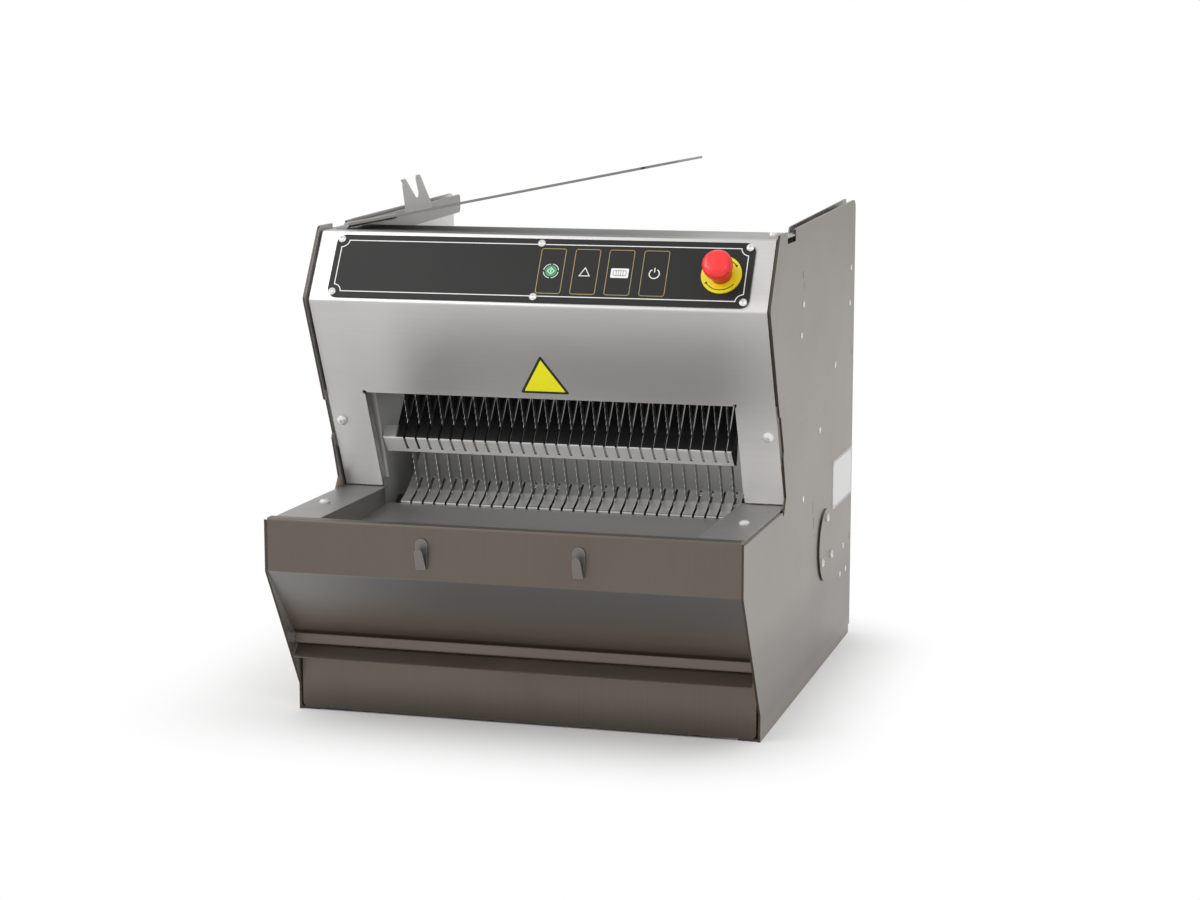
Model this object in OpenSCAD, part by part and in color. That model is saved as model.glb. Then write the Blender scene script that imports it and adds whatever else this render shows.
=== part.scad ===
// Countertop bread slicer: a folded stainless housing, two counter-moving blade frames,
// a swinging loaf pusher, a slotted hold-down, a discharge chute and a crumb drawer.
// X runs across the machine, Y from the operator to the rear, Z up.
// The origin is the centre of the base, on the surface that the machine stands on.

/* [Housing] */
// Overall width across the outer faces of the side panels
body_w = 620; // [580:1:680]
// Depth from the lower front plane to the rear edge
body_d = 636; // [620:1:660]
// Height of the side panels at the rear
rear_h = 643; // [636:1:660]
// Sheet thickness of the side panels
panel_t = 3; // [2:0.5:4]
// Sheet thickness of covers, chute and base
sheet_t = 2; // [1.5:0.1:2.5]
// Gap between a side panel and the covers between the panels
cover_gap = 3; // [2:0.5:4]
// How far a side panel stands proud of the front cover
panel_proud = 6.5; // [5:0.5:9]
// Bend radius of the folded sheets
bend_r = 3; // [2:0.5:5]

/* [Front cover] */
// Height of the lower edge of the front cover
cover_low_z = 274; // [268:1:280]
// Distance of that edge behind the lower front plane
cover_low_y = 166; // [160:1:172]
// Height of the forward bend of the front cover
knee_z = 537; // [530:1:545]
// Distance of that bend behind the lower front plane
knee_y = 42; // [36:1:48]
// Height of the upper bend of the front cover
crown_z = 623.5; // [618:0.5:628]
// Distance of the upper bend behind the lower front plane
crown_y = 96; // [90:1:100]
// Width of the cover beside the mouth
mouth_side = 58.5; // [52:0.5:65]
// Height of the upper edge of the mouth
mouth_top_z = 410; // [395:1:420]
// Depth of the flanges folded in round the mouth
mouth_flange = 12; // [6:1:16]

/* [Chute] */
// How far the chute lip stands ahead of the lower front plane
lip_reach = 105.6; // [90:0.2:120]
// Height of the lower edge of the lip
lip_low_z = 206; // [196:1:214]
// Height of the upper edge of the lip
lip_top_z = 275; // [272:0.5:280]
// Height of the chute's side flanges
chute_flange_z = 272.5; // [270:0.5:274]
// Width of the chute between its side walls
chute_w = 496; // [480:1:510]
// Height of the chute floor behind the lip
chute_floor_front_z = 236; // [228:1:244]
// Height of the chute floor at the slotted floor
chute_floor_rear_z = 250; // [246:1:252]
// Height at which the slanted apron bends to its short upright part
apron_break_z = 107; // [104:1:112]
// Distance of that bend ahead of the lower front plane
apron_break_y = 18; // [16:1:24]

/* [Blades] */
// Spacing of neighbouring blades
blade_pitch = 16.4; // [15:0.1:16.4]
// Sideways offset of the blade field from the middle
field_shift = 8; // [0:1:8]
// Lean of the blades from upright, top forward
blade_tilt = 21; // [20:0.5:22]
// Distance of the blade plane behind the lower front plane, at the slotted floor
blade_y = 202.5; // [200:0.5:206]
// Height at which the blades pass the slotted floor
blade_z = 272; // [270:1:274]
// Width of a blade
blade_w = 12; // [9:0.5:13]
// Thickness of a blade
blade_t = 0.8; // [0.6:0.1:1]
// Spacing of the teeth
tooth_pitch = 9; // [6:0.5:12]
// Depth of the teeth
tooth_depth = 2.2; // [1:0.1:3]
// Throw of the eccentrics, half the stroke of a frame
throw = 14; // [10:1:16]
// Distance of the upper beams above the slotted floor, along the blades
beam_up = 262; // [255:1:266]
// Distance of the lower beams below the slotted floor, along the blades
beam_down = 62; // [58:1:66]
// Height of a beam along the blades
beam_h = 20; // [16:1:24]
// Depth of a beam across the blade plane
beam_b = 14; // [10:1:16]
// Gap between the blade plane and the beams
beam_off = 8; // [7:0.5:9]
// Diameter of the guide rods
rod_d = 14; // [10:1:16]
// Running clearance on the radius of shafts and rods
run_c = 0.05; // [0.02:0.01:0.1]

/* [Hold-down] */
// Width of the slots for the blades
slot_w = 3.3; // [2:0.1:3.6]
// Thickness of the grate
grate_t = 7; // [5:0.5:9]
// Height of the grate's pivot
grate_pivot_z = 424; // [420:1:430]
// Distance of the grate's pivot behind the lower front plane
grate_pivot_y = 215; // [210:1:220]
// Lean of the grate from upright, top to the rear
grate_tilt = 37; // [34:0.5:40]
// Length of the grate from its pivot to its nose
grate_len = 104; // [100:1:108]
// Face of the nose bar
nose_face = 24; // [18:1:28]

/* [Pusher] */
// Height of the pusher shaft
pusher_z = 172; // [166:1:178]
// Distance of the pusher shaft behind the lower front plane
pusher_y = 424; // [418:1:430]
// Diameter of the pusher shaft
pusher_shaft_d = 24; // [18:1:30]
// Inner radius of the comb about the shaft
comb_r0 = 245; // [240:1:252]
// Outer radius of the comb about the shaft
comb_r1 = 300; // [290:1:304]
// Angle of the parked comb above the rearward horizontal
comb_park = 88; // [84:1:94]

/* [Drive] */
// Height of the crankshaft
crank_z = 99; // [96:1:104]
// Diameter of the crankshaft
crank_d = 22; // [18:1:25]
// Radius of an eccentric disc
ecc_r = 28; // [27:0.5:30]
// Outer radius of a connecting rod's big end
big_end_r = 36; // [35:0.5:38]
// Thickness of a connecting rod
rod_t = 14; // [10:1:16]
// Pitch diameter of the crank pulley
pulley_d = 140; // [120:1:150]
// Pitch diameter of the motor pulley
motor_pulley_d = 56; // [50:1:70]
// Diameter of the main motor
motor_d = 138; // [120:1:150]
// Length of the main motor's body
motor_len = 210; // [180:1:240]
// Height of the main motor's shaft
motor_z = 92; // [88:1:100]
// Distance of the motor shaft ahead of the housing's rear edge
motor_back = 116; // [106:1:136]

/* [Drawer and flap] */
// Gap between the drawer front's fold and the apron above it
drawer_gap = 1.1; // [1:0.1:3]
// Depth of the crumb tray
tray_d = 300; // [260:1:310]
// Height of the crumb tray
tray_h = 38; // [30:1:42]
// Travel of the crumb drawer
drawer_travel = 250; // [200:5:270]
// Length of the flap from its hinge
flap_len = 451; // [420:1:460]
// Depth of the flap
flap_d = 185; // [160:1:200]
// Angle at which the flap stands open
flap_angle = 11.2; // [5:0.1:20]

/* [Controls] */
// Diameter of the stop button's head
stop_head_d = 38; // [30:1:40]
// Diameter of the ring under the stop button
stop_ring_d = 52; // [44:1:60]
// Travel of the stop button
stop_travel = 4; // [3:0.5:6]

/* [Hidden] */
$fn = 48;
motor_y = body_d - motor_back;
mouth_w = body_w - 2 * mouth_side;
// An even number of blades that leaves the mouth a margin
blade_count = 2 * floor((mouth_w - 27) / (2 * blade_pitch));

steel = [0.72, 0.71, 0.69];
pale_steel = [0.83, 0.82, 0.81];
brown_steel = [0.42, 0.39, 0.36];
dark_steel = [0.34, 0.33, 0.32];
black = [0.09, 0.09, 0.09];

half_w = body_w / 2;
inner_w = half_w - panel_t;
cover_half = inner_w - cover_gap;
seat_c = 0.3;
first_blade_x = field_shift - blade_pitch * (blade_count - 1) / 2;
last_blade_x = -first_blade_x + 2 * field_shift;
field_half = blade_pitch * blade_count / 2;

// Plane geometry in the machine's side view: points are [y, z], y measured from the
// lower front plane.
function unit(v) = v / norm(v);
function left_of(v) = [-v[1], v[0]];
function turn(v, a) = [v[0] * cos(a) - v[1] * sin(a), v[0] * sin(a) + v[1] * cos(a)];
function bend_points(a, b, c, r, k) =
    let (u = unit(a - b), w = unit(c - b), half = acos(u * w) / 2,
         centre = b + unit(u + w) * (r / sin(half)), p = b + u * (r / tan(half)),
         q = b + w * (r / tan(half)), s = cross(p - centre, q - centre) > 0 ? 1 : -1)
    [for (i = [0:k]) centre + turn(p - centre, s * (180 - 2 * half) * i / k)];
function bend_path(pts, r, k = 4) = concat([pts[0]],
    [for (i = [1:1:len(pts) - 2]) each bend_points(pts[i - 1], pts[i], pts[i + 1], r, k)],
    [pts[len(pts) - 1]]);
function mitre(pts, i, t) =
    let (n = len(pts), a = i > 0 ? unit(pts[i] - pts[i - 1]) : unit(pts[1] - pts[0]),
         b = i < n - 1 ? unit(pts[i + 1] - pts[i]) : unit(pts[n - 1] - pts[n - 2]),
         m = unit(left_of(a) + left_of(b)))
    pts[i] + m * (t / (m * left_of(a)));
function sheet_outline(pts, t) = concat(pts, [for (i = [len(pts) - 1:-1:0]) mitre(pts, i, t)]);
function rounded_poly(pts, r, k = 4) = let (n = len(pts))
    [for (i = [0:n - 1]) each bend_points(pts[(i + n - 1) % n], pts[i], pts[(i + 1) % n], r, k)];

// Side-view outline extruded across the machine from x0 to x1
module across(x0, x1) {
    translate([x0, -body_d / 2, 0]) rotate([90, 0, 90]) linear_extrude(x1 - x0) children();
}
// Round bar across the machine at a side-view point
module bar_across(p, d, x0, x1) {
    translate([x0, p[0] - body_d / 2, p[1]]) rotate([0, 90, 0]) cylinder(d = d, h = x1 - x0);
}
// Blade-plane axes: local y is across the blade plane to the rear, local z runs up the blades
module on_blade_plane() {
    translate([0, blade_y - body_d / 2, blade_z]) rotate([blade_tilt, 0, 0]) children();
}
function blade_point(n, s) = [blade_y, blade_z] + turn([n, s], blade_tilt);

// Front cover
low_pt = [cover_low_y, cover_low_z];
knee_pt = [knee_y, knee_z];
crown_pt = [crown_y, crown_z];
lower_dir = unit(knee_pt - low_pt);
upper_dir = unit(crown_pt - knee_pt);
lower_tilt = atan2(-lower_dir[0], lower_dir[1]);
upper_tilt = atan2(-upper_dir[0], upper_dir[1]);
cover_top_depth = 12;
module cover_skin(x0, x1) {
    across(x0, x1) polygon(sheet_outline(bend_path(
        [low_pt, knee_pt, crown_pt, crown_pt + [cover_top_depth, 0.4]], bend_r), -sheet_t));
}
module on_lower_face() {
    translate([0, cover_low_y - body_d / 2, cover_low_z]) rotate([lower_tilt, 0, 0]) children();
}
module on_upper_face() {
    translate([0, knee_y - body_d / 2, knee_z]) rotate([upper_tilt, 0, 0]) children();
}
mouth_rise = (mouth_top_z - cover_low_z) / cos(lower_tilt);
relief = 3;
side_return = 14;
module front_cover() color(pale_steel) {
    difference() {
        cover_skin(-cover_half, cover_half);
        on_lower_face() translate([0, 8, 0]) rotate([90, 0, 0]) linear_extrude(16) {
            translate([-mouth_w / 2, -9]) square([mouth_w, 9 + mouth_rise]);
            for (x = [-1, 1]) translate([x * mouth_w / 2, mouth_rise]) circle(r = relief);
        }
        for (x = [-1, 1]) screw_hole(x * cover_screw_x);
    }
    on_lower_face() {
        translate([-mouth_w / 2 + relief + 1, 0.5, mouth_rise - 0.5])
            cube([mouth_w - 2 * relief - 2, mouth_flange, sheet_t]);
        for (x = [-1, 1])
            translate([x * (mouth_w / 2 + sheet_t / 2 - 0.3) - sheet_t / 2, 0.5, 2])
                cube([sheet_t, mouth_flange, mouth_rise - relief - 4]);
    }
    for (x = [-1, 1]) side_return_strip(x);
}
// Strips folded back along the cover's outer edges, interrupted for the brackets
module side_return_strip(s) {
    x = s * (cover_half - sheet_t / 2);
    in_low = [lower_dir[1], -lower_dir[0]];
    in_up = [upper_dir[1], -upper_dir[0]];
    across(x - sheet_t / 2, x + sheet_t / 2) difference() {
        polygon([low_pt + lower_dir * 4 + in_low, knee_pt + in_low * 1.6 - lower_dir * 3,
            knee_pt + in_up * 1.6 + upper_dir * 3, crown_pt - upper_dir * 4 + in_up,
            crown_pt - upper_dir * 4 + in_up * side_return, knee_pt + (in_low + in_up) * side_return / 2,
            low_pt + lower_dir * 4 + in_low * side_return]);
        polygon([low_pt + lower_dir * (bracket_rise - 2) + in_low * 0.5,
            low_pt + lower_dir * (bracket_rise + bracket_h + 2) + in_low * 0.5,
            low_pt + lower_dir * (bracket_rise + bracket_h + 2) + in_low * 40,
            low_pt + lower_dir * (bracket_rise - 2) + in_low * 40]);
    }
}
bracket_rise = 60;
bracket_h = 90;
bracket_reach = 34;
cover_screw_x = half_w - 19;
cover_screw_rise = 104.5;
screw_head_d = 14;
screw_hole_d = 8.6;
module screw_hole(x) {
    on_lower_face() translate([x, -10, cover_screw_rise]) rotate([-90, 0, 0])
        cylinder(d = screw_hole_d, h = 20);
}

// Folded tabs that the front cover is screwed to, on both side panels
module cover_brackets() color(steel) for (s = [-1, 1]) difference() {
    on_lower_face() {
        translate([s * (inner_w - seat_c) - (s > 0 ? bracket_reach : 0), sheet_t + seat_c, bracket_rise])
            cube([bracket_reach, sheet_t, bracket_h]);
        translate([s * (inner_w - seat_c) - (s > 0 ? sheet_t : 0), sheet_t + seat_c, bracket_rise])
            cube([sheet_t, 26, bracket_h]);
    }
    screw_hole(s * cover_screw_x);
}

// Button-head screw standing on a face: local z leaves the face
module button_screw(d, shank, length) {
    difference() {
        intersection() {
            cylinder(d = d, h = d * 0.36);
            translate([0, 0, -d * 0.34]) sphere(d = d * 1.4);
        }
        translate([0, 0, d * 0.16]) cylinder(d = d * 0.42, h = d, $fn = 6);
    }
    translate([0, 0, -length]) cylinder(d = shank, h = length + 0.1);
}

// Side panels
top_front_z = 630;
top_flat_end = 138;
notch_y0 = 138;
notch_y1 = 191;
notch_depth = 15;
top_slope_y = 222;
foot_h = 34.3;
tab_w = 58;
tab_d = 26;
// Point on the front edge at height z, a distance ahead of the cover's lower face
function front_edge(z, ahead) = let (f = (z - cover_low_z) / (knee_z - cover_low_z))
    [cover_low_y + (knee_y - cover_low_y) * f - ahead, z];
knee_out = knee_pt + [-panel_proud - 0.5, 2];
// Between these heights the edge is set back to the cover, beside its screws
relief_z0 = 349;
relief_z1 = 397;
rear_round = 13;
panel_pts = concat(
    [[0, 0], [0, foot_h], [-lip_reach, lip_low_z], [-lip_reach, lip_top_z - 2],
     [-lip_reach + 4, chute_flange_z - sheet_t], [124, chute_flange_z - sheet_t],
     [133, 264], [148.5, 286], front_edge(297, panel_proud + 4),
     front_edge(relief_z0 - 7, panel_proud), front_edge(relief_z0 - 2, panel_proud / 3),
     front_edge(relief_z0, 0.3), front_edge(relief_z1, 0.3), front_edge(relief_z1, panel_proud - 2),
     front_edge(relief_z1 + 2, panel_proud)],
    bend_points(front_edge(relief_z1 + 2, panel_proud), knee_out, [88, 622], 8, 4),
    bend_points(knee_out, [92, top_front_z], [top_flat_end, top_front_z], 9, 5),
    [[notch_y0, top_front_z], [notch_y0, top_front_z - notch_depth],
     [notch_y1, top_front_z - notch_depth], [notch_y1, top_front_z],
     [top_slope_y, top_front_z + 1.5]],
    bend_points([top_slope_y, top_front_z + 1.5], [body_d, rear_h], [body_d, 100], rear_round, 5),
    [[body_d, 12], [body_d - 9, 12], [body_d - 9, 0]]);
vent_rows = 7;
module panel_outline(s) {
    difference() {
        polygon(panel_pts);
        // tab slots for the inner sheets
        for (p = [[245, 562], [250.6, 547.6]]) translate(p) square([1.6, 9.6]);
        for (p = [[333, 233], [338, 216]]) translate(p) square([1.6, 9.8]);
        for (p = [[622, 417.5], [624, 142]]) translate(p) square([2, 10.5]);
        if (s > 0) translate([pusher_y, pusher_z]) circle(d = pusher_shaft_d + 16);
    }
}
module side_panel(s) {
    x0 = s > 0 ? inner_w : -half_w;
    across(x0, x0 + panel_t) panel_outline(s);
    // foot flange folded in along the bottom
    x1 = s > 0 ? inner_w - tab_d : -inner_w;
    across(x1, x1 + tab_d) polygon([[2, 0], [body_d - 9, 0], [body_d - 9, panel_t], [2, panel_t]]);
    // flange folded in under the chute wall
    x2 = s > 0 ? inner_w - 18 : -inner_w;
    across(x2, x2 + 18) polygon([[-lip_reach + 6, chute_flange_z - sheet_t - panel_t],
        [120, chute_flange_z - sheet_t - panel_t], [120, chute_flange_z - sheet_t],
        [-lip_reach + 6, chute_flange_z - sheet_t]]);
}
module left_side_panel() color(steel) side_panel(-1);
module right_side_panel() color(steel) side_panel(1);

// Base sheet between the foot flanges, folded up at the rear
base_front = 16;
stand_x = half_w - 48;
stand_y0 = 78;
stand_y1 = body_d - stand_y0;
stand_hole_d = 9;
module base_plate() color(steel) difference() {
    union() {
        across(-inner_w + tab_d + seat_c, inner_w - tab_d - seat_c) polygon(
            [[base_front, 0], [body_d - 12, 0], [body_d - 12, sheet_t], [base_front, sheet_t]]);
        across(-inner_w + tab_d + seat_c, inner_w - tab_d - seat_c) polygon(
            [[body_d - 12 - sheet_t, sheet_t - 0.1], [body_d - 12, sheet_t - 0.1],
             [body_d - 12, 26], [body_d - 12 - sheet_t, 26]]);
    }
    for (x = [-stand_x, stand_x], y = [stand_y0, stand_y1]) translate([x, y - body_d / 2, -1])
        cylinder(d = stand_hole_d, h = sheet_t + 2);
}

// Rear sheet with folded edges and two louvre fields
rear_top_z = 588;
gland_x = 70 - half_w;
gland_z = 60;
louvre_x = [-190, -110, 50, 130];
louvre_w = 60;
rear_half = inner_w - seat_c;
module rear_panel() color(steel) {
    y0 = body_d - 8;
    difference() {
        across(-rear_half, rear_half) polygon(sheet_outline(
            bend_path([[y0 - 24, rear_top_z], [y0, rear_top_z], [y0, 28]], bend_r), -sheet_t));
        for (x = louvre_x, i = [0:vent_rows - 1])
            translate([x, y0 - 6 - body_d / 2, 100 + 24 * i]) cube([louvre_w, 12, 5]);
        translate([gland_x, y0 - 6 - body_d / 2, gland_z]) rotate([-90, 0, 0])
            cylinder(d = 20.5, h = 12);
    }
    // pressed hoods over the louvres
    for (x = louvre_x, i = [0:vent_rows - 1])
        translate([x, y0 - body_d / 2, 100 + 24 * i])
            rotate([90, 0, 90]) linear_extrude(louvre_w)
                polygon([[-1, 5.5], [3.4, 1.2], [3.4, -0.2], [4.4, -0.2], [4.4, 1.8], [0.2, 7],
                         [-1, 7]]);
}

// Top strip behind the front cover, with a tab folded down into each side notch
strip_y0 = crown_y + 1.5;
strip_y1 = 213;
module top_plate() color(steel) {
    z = crown_z + 0.7;
    across(-cover_half, cover_half) polygon(sheet_outline(bend_path(
        [[strip_y0 + cover_top_depth, z], [strip_y1, z], [strip_y1, z - 20]], bend_r), -sheet_t));
    for (s = [-1, 1]) {
        x = s > 0 ? cover_half - 0.5 : -inner_w - panel_t + 0.6;
        across(x, x + cover_gap + panel_t - 0.1)
            polygon([[notch_y0 + 2, z - 2], [notch_y1 - 2, z - 2], [notch_y1 - 2, z],
                     [notch_y0 + 2, z]]);
    }
}

// Inner rails along the top of both side panels, with rounded ends
rail_x = 296;
rail_t = 2;
rail_h = 27;
module top_rails() color(steel) for (s = [-1, 1]) {
    y0 = s > 0 ? strip_y1 + 2 : 232;
    rise = (rear_h - top_front_z) / (body_d - top_slope_y);
    drop = s > 0 ? -1.5 : 1.5;
    z0 = top_front_z + (y0 - top_slope_y) * rise - drop;
    z1 = top_front_z + (body_d - 4 - top_slope_y) * rise - drop;
    across(s * rail_x - rail_t / 2, s * rail_x + rail_t / 2) polygon(rounded_poly(
        [[y0, z0 - rail_h], [body_d - 4, z1 - rail_h], [body_d - 4, z1], [y0, z0]], 7));
    // spacer bushes that carry the rail on the panel
    for (y = [270, 420, 580]) {
        zc = top_front_z + (y - top_slope_y) * rise - drop - rail_h / 2;
        x0 = s > 0 ? rail_x + rail_t / 2 : -inner_w;
        bar_across([y, zc], 12, x0, x0 + inner_w - rail_x - rail_t / 2);
    }
}

// Control plate, screwed to the upper face of the front cover
plate_z0 = 5;
plate_h = 90.5;
plate_half = half_w - 30;
plate_t = 2;
plate_r = 12;
plate_inset = 7;
small_hole_d = 4.4;
stop_x = plate_half - 39.2;
stop_rise = 49.5;
plate_screws = [for (x = [-plate_half + plate_inset, 0, plate_half - plate_inset],
                     z = [plate_z0 + plate_inset, plate_z0 + plate_h - plate_inset]) [x, z]];
module control_plate() color(black) on_upper_face() difference() {
    translate([0, -seat_c, 0]) rotate([90, 0, 0]) linear_extrude(plate_t)
        polygon(rounded_poly([[-plate_half, plate_z0], [plate_half, plate_z0],
            [plate_half, plate_z0 + plate_h], [-plate_half, plate_z0 + plate_h]], plate_r, 6));
    translate([stop_x, 0, stop_rise]) rotate([90, 0, 0]) cylinder(d = 22.4, h = 8, center = true);
    for (p = plate_screws) translate([p[0], 0, p[1]]) rotate([90, 0, 0])
        cylinder(d = small_hole_d, h = 8, center = true);
}

// Stop button: flat ring with its barrel in the plate, a flared neck on it, and the hollow head
stop_base_d = 28;
stop_neck_d = 33;
stop_neck_top = 25;
stop_head_z = 21;
stop_head_h = 18;
stop_stem_d = 16;
stop_ring_t = 2.4;
stop_face = plate_t + seat_c;
module on_stop() on_upper_face() translate([stop_x, -stop_face, stop_rise]) rotate([90, 0, 0]) children();
module stop_collar() color("gold") on_stop() difference() {
    union() {
        cylinder(d = stop_ring_d, h = stop_ring_t);
        translate([0, 0, -1.9]) cylinder(d = 22, h = 4);
    }
    translate([0, 0, -6]) cylinder(d = stop_stem_d + 1, h = 30);
}
module stop_neck() color("red") on_stop() difference() {
    translate([0, 0, stop_ring_t + 0.1])
        cylinder(d1 = stop_base_d, d2 = stop_neck_d, h = stop_neck_top - stop_ring_t - 0.1);
    translate([0, 0, 1]) cylinder(d = stop_stem_d, h = 30);
}
// The head slides on its stem in the neck, and its rim passes over the neck
module stop_head() color("red") on_stop() difference() {
    union() {
        translate([0, 0, stop_head_z]) rotate_extrude() polygon(concat(
            bend_points([0, 0], [stop_head_d / 2 - 0.5, 0], [stop_head_d / 2, 4], 1.2, 3),
            bend_points([stop_head_d / 2, 2], [stop_head_d / 2 + 0.6, stop_head_h - 1.5],
                [0, stop_head_h + 0.8], 8.5, 7), [[0, stop_head_h], [0, 0]]));
        translate([0, 0, stop_neck_top - 16]) cylinder(d = stop_stem_d - 2 * run_c, h = 24);
    }
    translate([0, 0, stop_head_z - 1]) difference() {
        cylinder(d = stop_neck_d + 1.4, h = stop_neck_top + stop_travel + 1.5 - stop_head_z);
        cylinder(d = stop_stem_d - 2 * run_c, h = 40);
    }
}

// Control unit behind the plate: board housing and stop contact block
unit_x0 = -60;
module control_unit() color(dark_steel) on_upper_face() {
    translate([unit_x0, sheet_t + seat_c, plate_z0 + 12]) cube([230, 16, 50]);
    translate([stop_x - 15, sheet_t + seat_c, stop_rise - 14]) cube([30, 24, 28]);
}

// Chute: apron with lip and underside, floor, and side walls with flanges
apron_half = inner_w - seat_c;
lip_y = -lip_reach + 1;
lip_fold = 16;
apron_band = 14.5;
apron_return = 12;
module chute_apron() color(brown_steel) across(-apron_half, apron_half)
    polygon(sheet_outline(bend_path(
        [[lip_y + lip_fold, lip_top_z], [lip_y, lip_top_z], [lip_y, lip_low_z],
         [-apron_break_y, apron_break_z], [-apron_break_y, apron_break_z - apron_band],
         [-apron_break_y + apron_return, apron_break_z - apron_band]], bend_r, 3), sheet_t));
floor_y0 = lip_y + sheet_t + seat_c;
floor_y1 = 173;
module chute_floor() color(dark_steel) across(-chute_w / 2 + sheet_t + seat_c, chute_w / 2 - sheet_t - seat_c)
    polygon(sheet_outline(bend_path(
        [[floor_y0, chute_floor_front_z - 14], [floor_y0, chute_floor_front_z],
         [floor_y1, chute_floor_rear_z], [floor_y1, chute_floor_rear_z - 16]], bend_r), -sheet_t));
wall_y1 = 160;
flange_y1 = cover_low_y + 4;
module chute_walls() color(steel) for (s = [-1, 1]) difference() {
    xi = chute_w / 2;
    xo = half_w - 4.5;
    union() {
        // upright wall beside the trough
        across(s > 0 ? xi - sheet_t : -xi, s > 0 ? xi : -xi + sheet_t)
            polygon([[floor_y0, chute_floor_front_z - 12], [wall_y1, chute_floor_rear_z - 12],
                     [wall_y1, chute_flange_z - 0.1], [floor_y0, chute_flange_z - 0.1]]);
        // flange on top of the side panel
        across(s > 0 ? xi - sheet_t : -xo, s > 0 ? xo : -xi + sheet_t)
            polygon([[floor_y0, chute_flange_z - sheet_t + 0.1], [flange_y1, chute_flange_z - sheet_t + 0.1],
                     [flange_y1, chute_flange_z], [floor_y0, chute_flange_z]]);
    }
    translate([s * chute_screw_x, chute_screw_y - body_d / 2, chute_flange_z - 10])
        cylinder(d = screw_hole_d, h = 20);
}
chute_screw_x = half_w - 29;
chute_screw_y = 28;

// Bag hooks on the lip: a round-topped plate, a bottom bend and a finger that leans out
hook_x = [-99.5, 104];
hook_w = 16;
hook_t = 2;
hook_top = 259;
hook_low = 220;
hook_lean = 23;
finger_len = 30;
module hook_plate(w0, w1, h) {
    hull() {
        translate([-w0 / 2, 0]) square([w0, 1]);
        translate([0, h - w1 / 2]) circle(d = w1);
    }
}
module bag_hooks() color(steel) for (x = hook_x) translate([x, lip_y - 0.1 - body_d / 2, hook_low]) {
    translate([0, 0, 1.4]) rotate([90, 0, 0]) linear_extrude(hook_t)
        hook_plate(hook_w - 2, hook_w, hook_top - hook_low - 1.4);
    translate([0, -2.6, 1.2]) rotate([90 + hook_lean, 0, 0]) linear_extrude(hook_t)
        hook_plate(hook_w - 3, hook_w - 5.5, finger_len);
    // bottom bend
    translate([-(hook_w - 3) / 2, -hook_t, 0]) rotate([0, 90, 0]) linear_extrude(hook_w - 3) hull() {
        translate([-1.4, 1]) circle(d = hook_t - 0.04);
        translate([-1.1, -1.5]) circle(d = hook_t - 0.04);
    }
}

// Curved floor that the blades pass through, rising to the rear
floor_pts = [[floor_y1 + seat_c, 242], [floor_y1 + seat_c, 252.5], [189, 258.3], [202, 265.4],
             [220, 277.8], [345, 375], [366, 375]];
floor_slot_y0 = 170;
floor_slot_y1 = 222;
floor_half_l = -first_blade_x + 15;
floor_half_r = last_blade_x + 9;
module slotted_floor() color(pale_steel) difference() {
    across(-floor_half_l, floor_half_r) polygon(sheet_outline(bend_path(floor_pts, bend_r, 2), -sheet_t));
    for (i = [0:blade_count - 1]) translate([first_blade_x + i * blade_pitch - slot_w / 2,
        floor_slot_y0 - body_d / 2, 240]) cube([slot_w, floor_slot_y1 - floor_slot_y0, 60]);
}

// Cross beam under the floor, with three ribs that carry the floor's rear slope
beam_y0 = 264;
beam_y1 = 284;
beam_low = 225;
beam_top = 245;
rib_x = [-150, 4, 150];
module floor_support() color(dark_steel) {
    difference() {
        across(-inner_w + seat_c, inner_w - seat_c) polygon(
            [[beam_y0, beam_low], [beam_y1, beam_low], [beam_y1, beam_top], [beam_y0, beam_top]]);
        across(-inner_w - 1, inner_w + 1) polygon(
            [[beam_y0 + 2, beam_low + 2], [beam_y1 - 2, beam_low + 2], [beam_y1 - 2, beam_top - 2],
             [beam_y0 + 2, beam_top - 2]]);
    }
    for (x = rib_x) across(x - 2, x + 2) polygon(
        [[beam_y0, beam_top - 1], floor_under(250), floor_under(344), floor_under(344) + [0, -14],
         [beam_y1, beam_top - 1]]);
}
function floor_under(y) = let (a = [220, 277.8], b = [345, 375], d = unit(b - a))
    a + d * ((y - a[0]) / d[0]) + [d[1], -d[0]] * (sheet_t + seat_c);

// Upright liners between the loaf bay and the blade frames' side bars
liner_x = mouth_w / 2 + 3;
liner_t = 2;
liner_front = [blade_point(-20, 150), blade_point(-20, 20)];
liner_low = -beam_down + throw + beam_h / 2 + 4;
module bay_liners() color(steel) for (s = [-1, 1]) {
    across(s * liner_x - liner_t / 2, s * liner_x + liner_t / 2)
        difference() {
            polygon([[182, 244], blade_point(0, liner_low), blade_point(beam_off + beam_b + 4, liner_low),
                     [256, beam_top + seat_c], [beam_y1, beam_top + seat_c],
                     [liner_rear_y, liner_rear_z0], [liner_rear_y, liner_rear_z1],
                     [240, liner_top_z], [154, liner_top_z],
                     liner_front[0], liner_front[1], [182, 262]]);
            translate(pivot) circle(d = grate_rod_d + 4);
        }
    // flange folded inward along the front edge
    across(s > 0 ? liner_x - liner_flange : -liner_x, s > 0 ? liner_x : -liner_x + liner_flange)
        polygon([liner_front[0], liner_front[1], liner_front[1] + [1.6, 0], liner_front[0] + [1.6, 0]]);
}
liner_flange = 8;
liner_rear_y = 330;
liner_rear_z0 = 300;
liner_rear_z1 = 400;
liner_top_z = 470;

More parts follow.
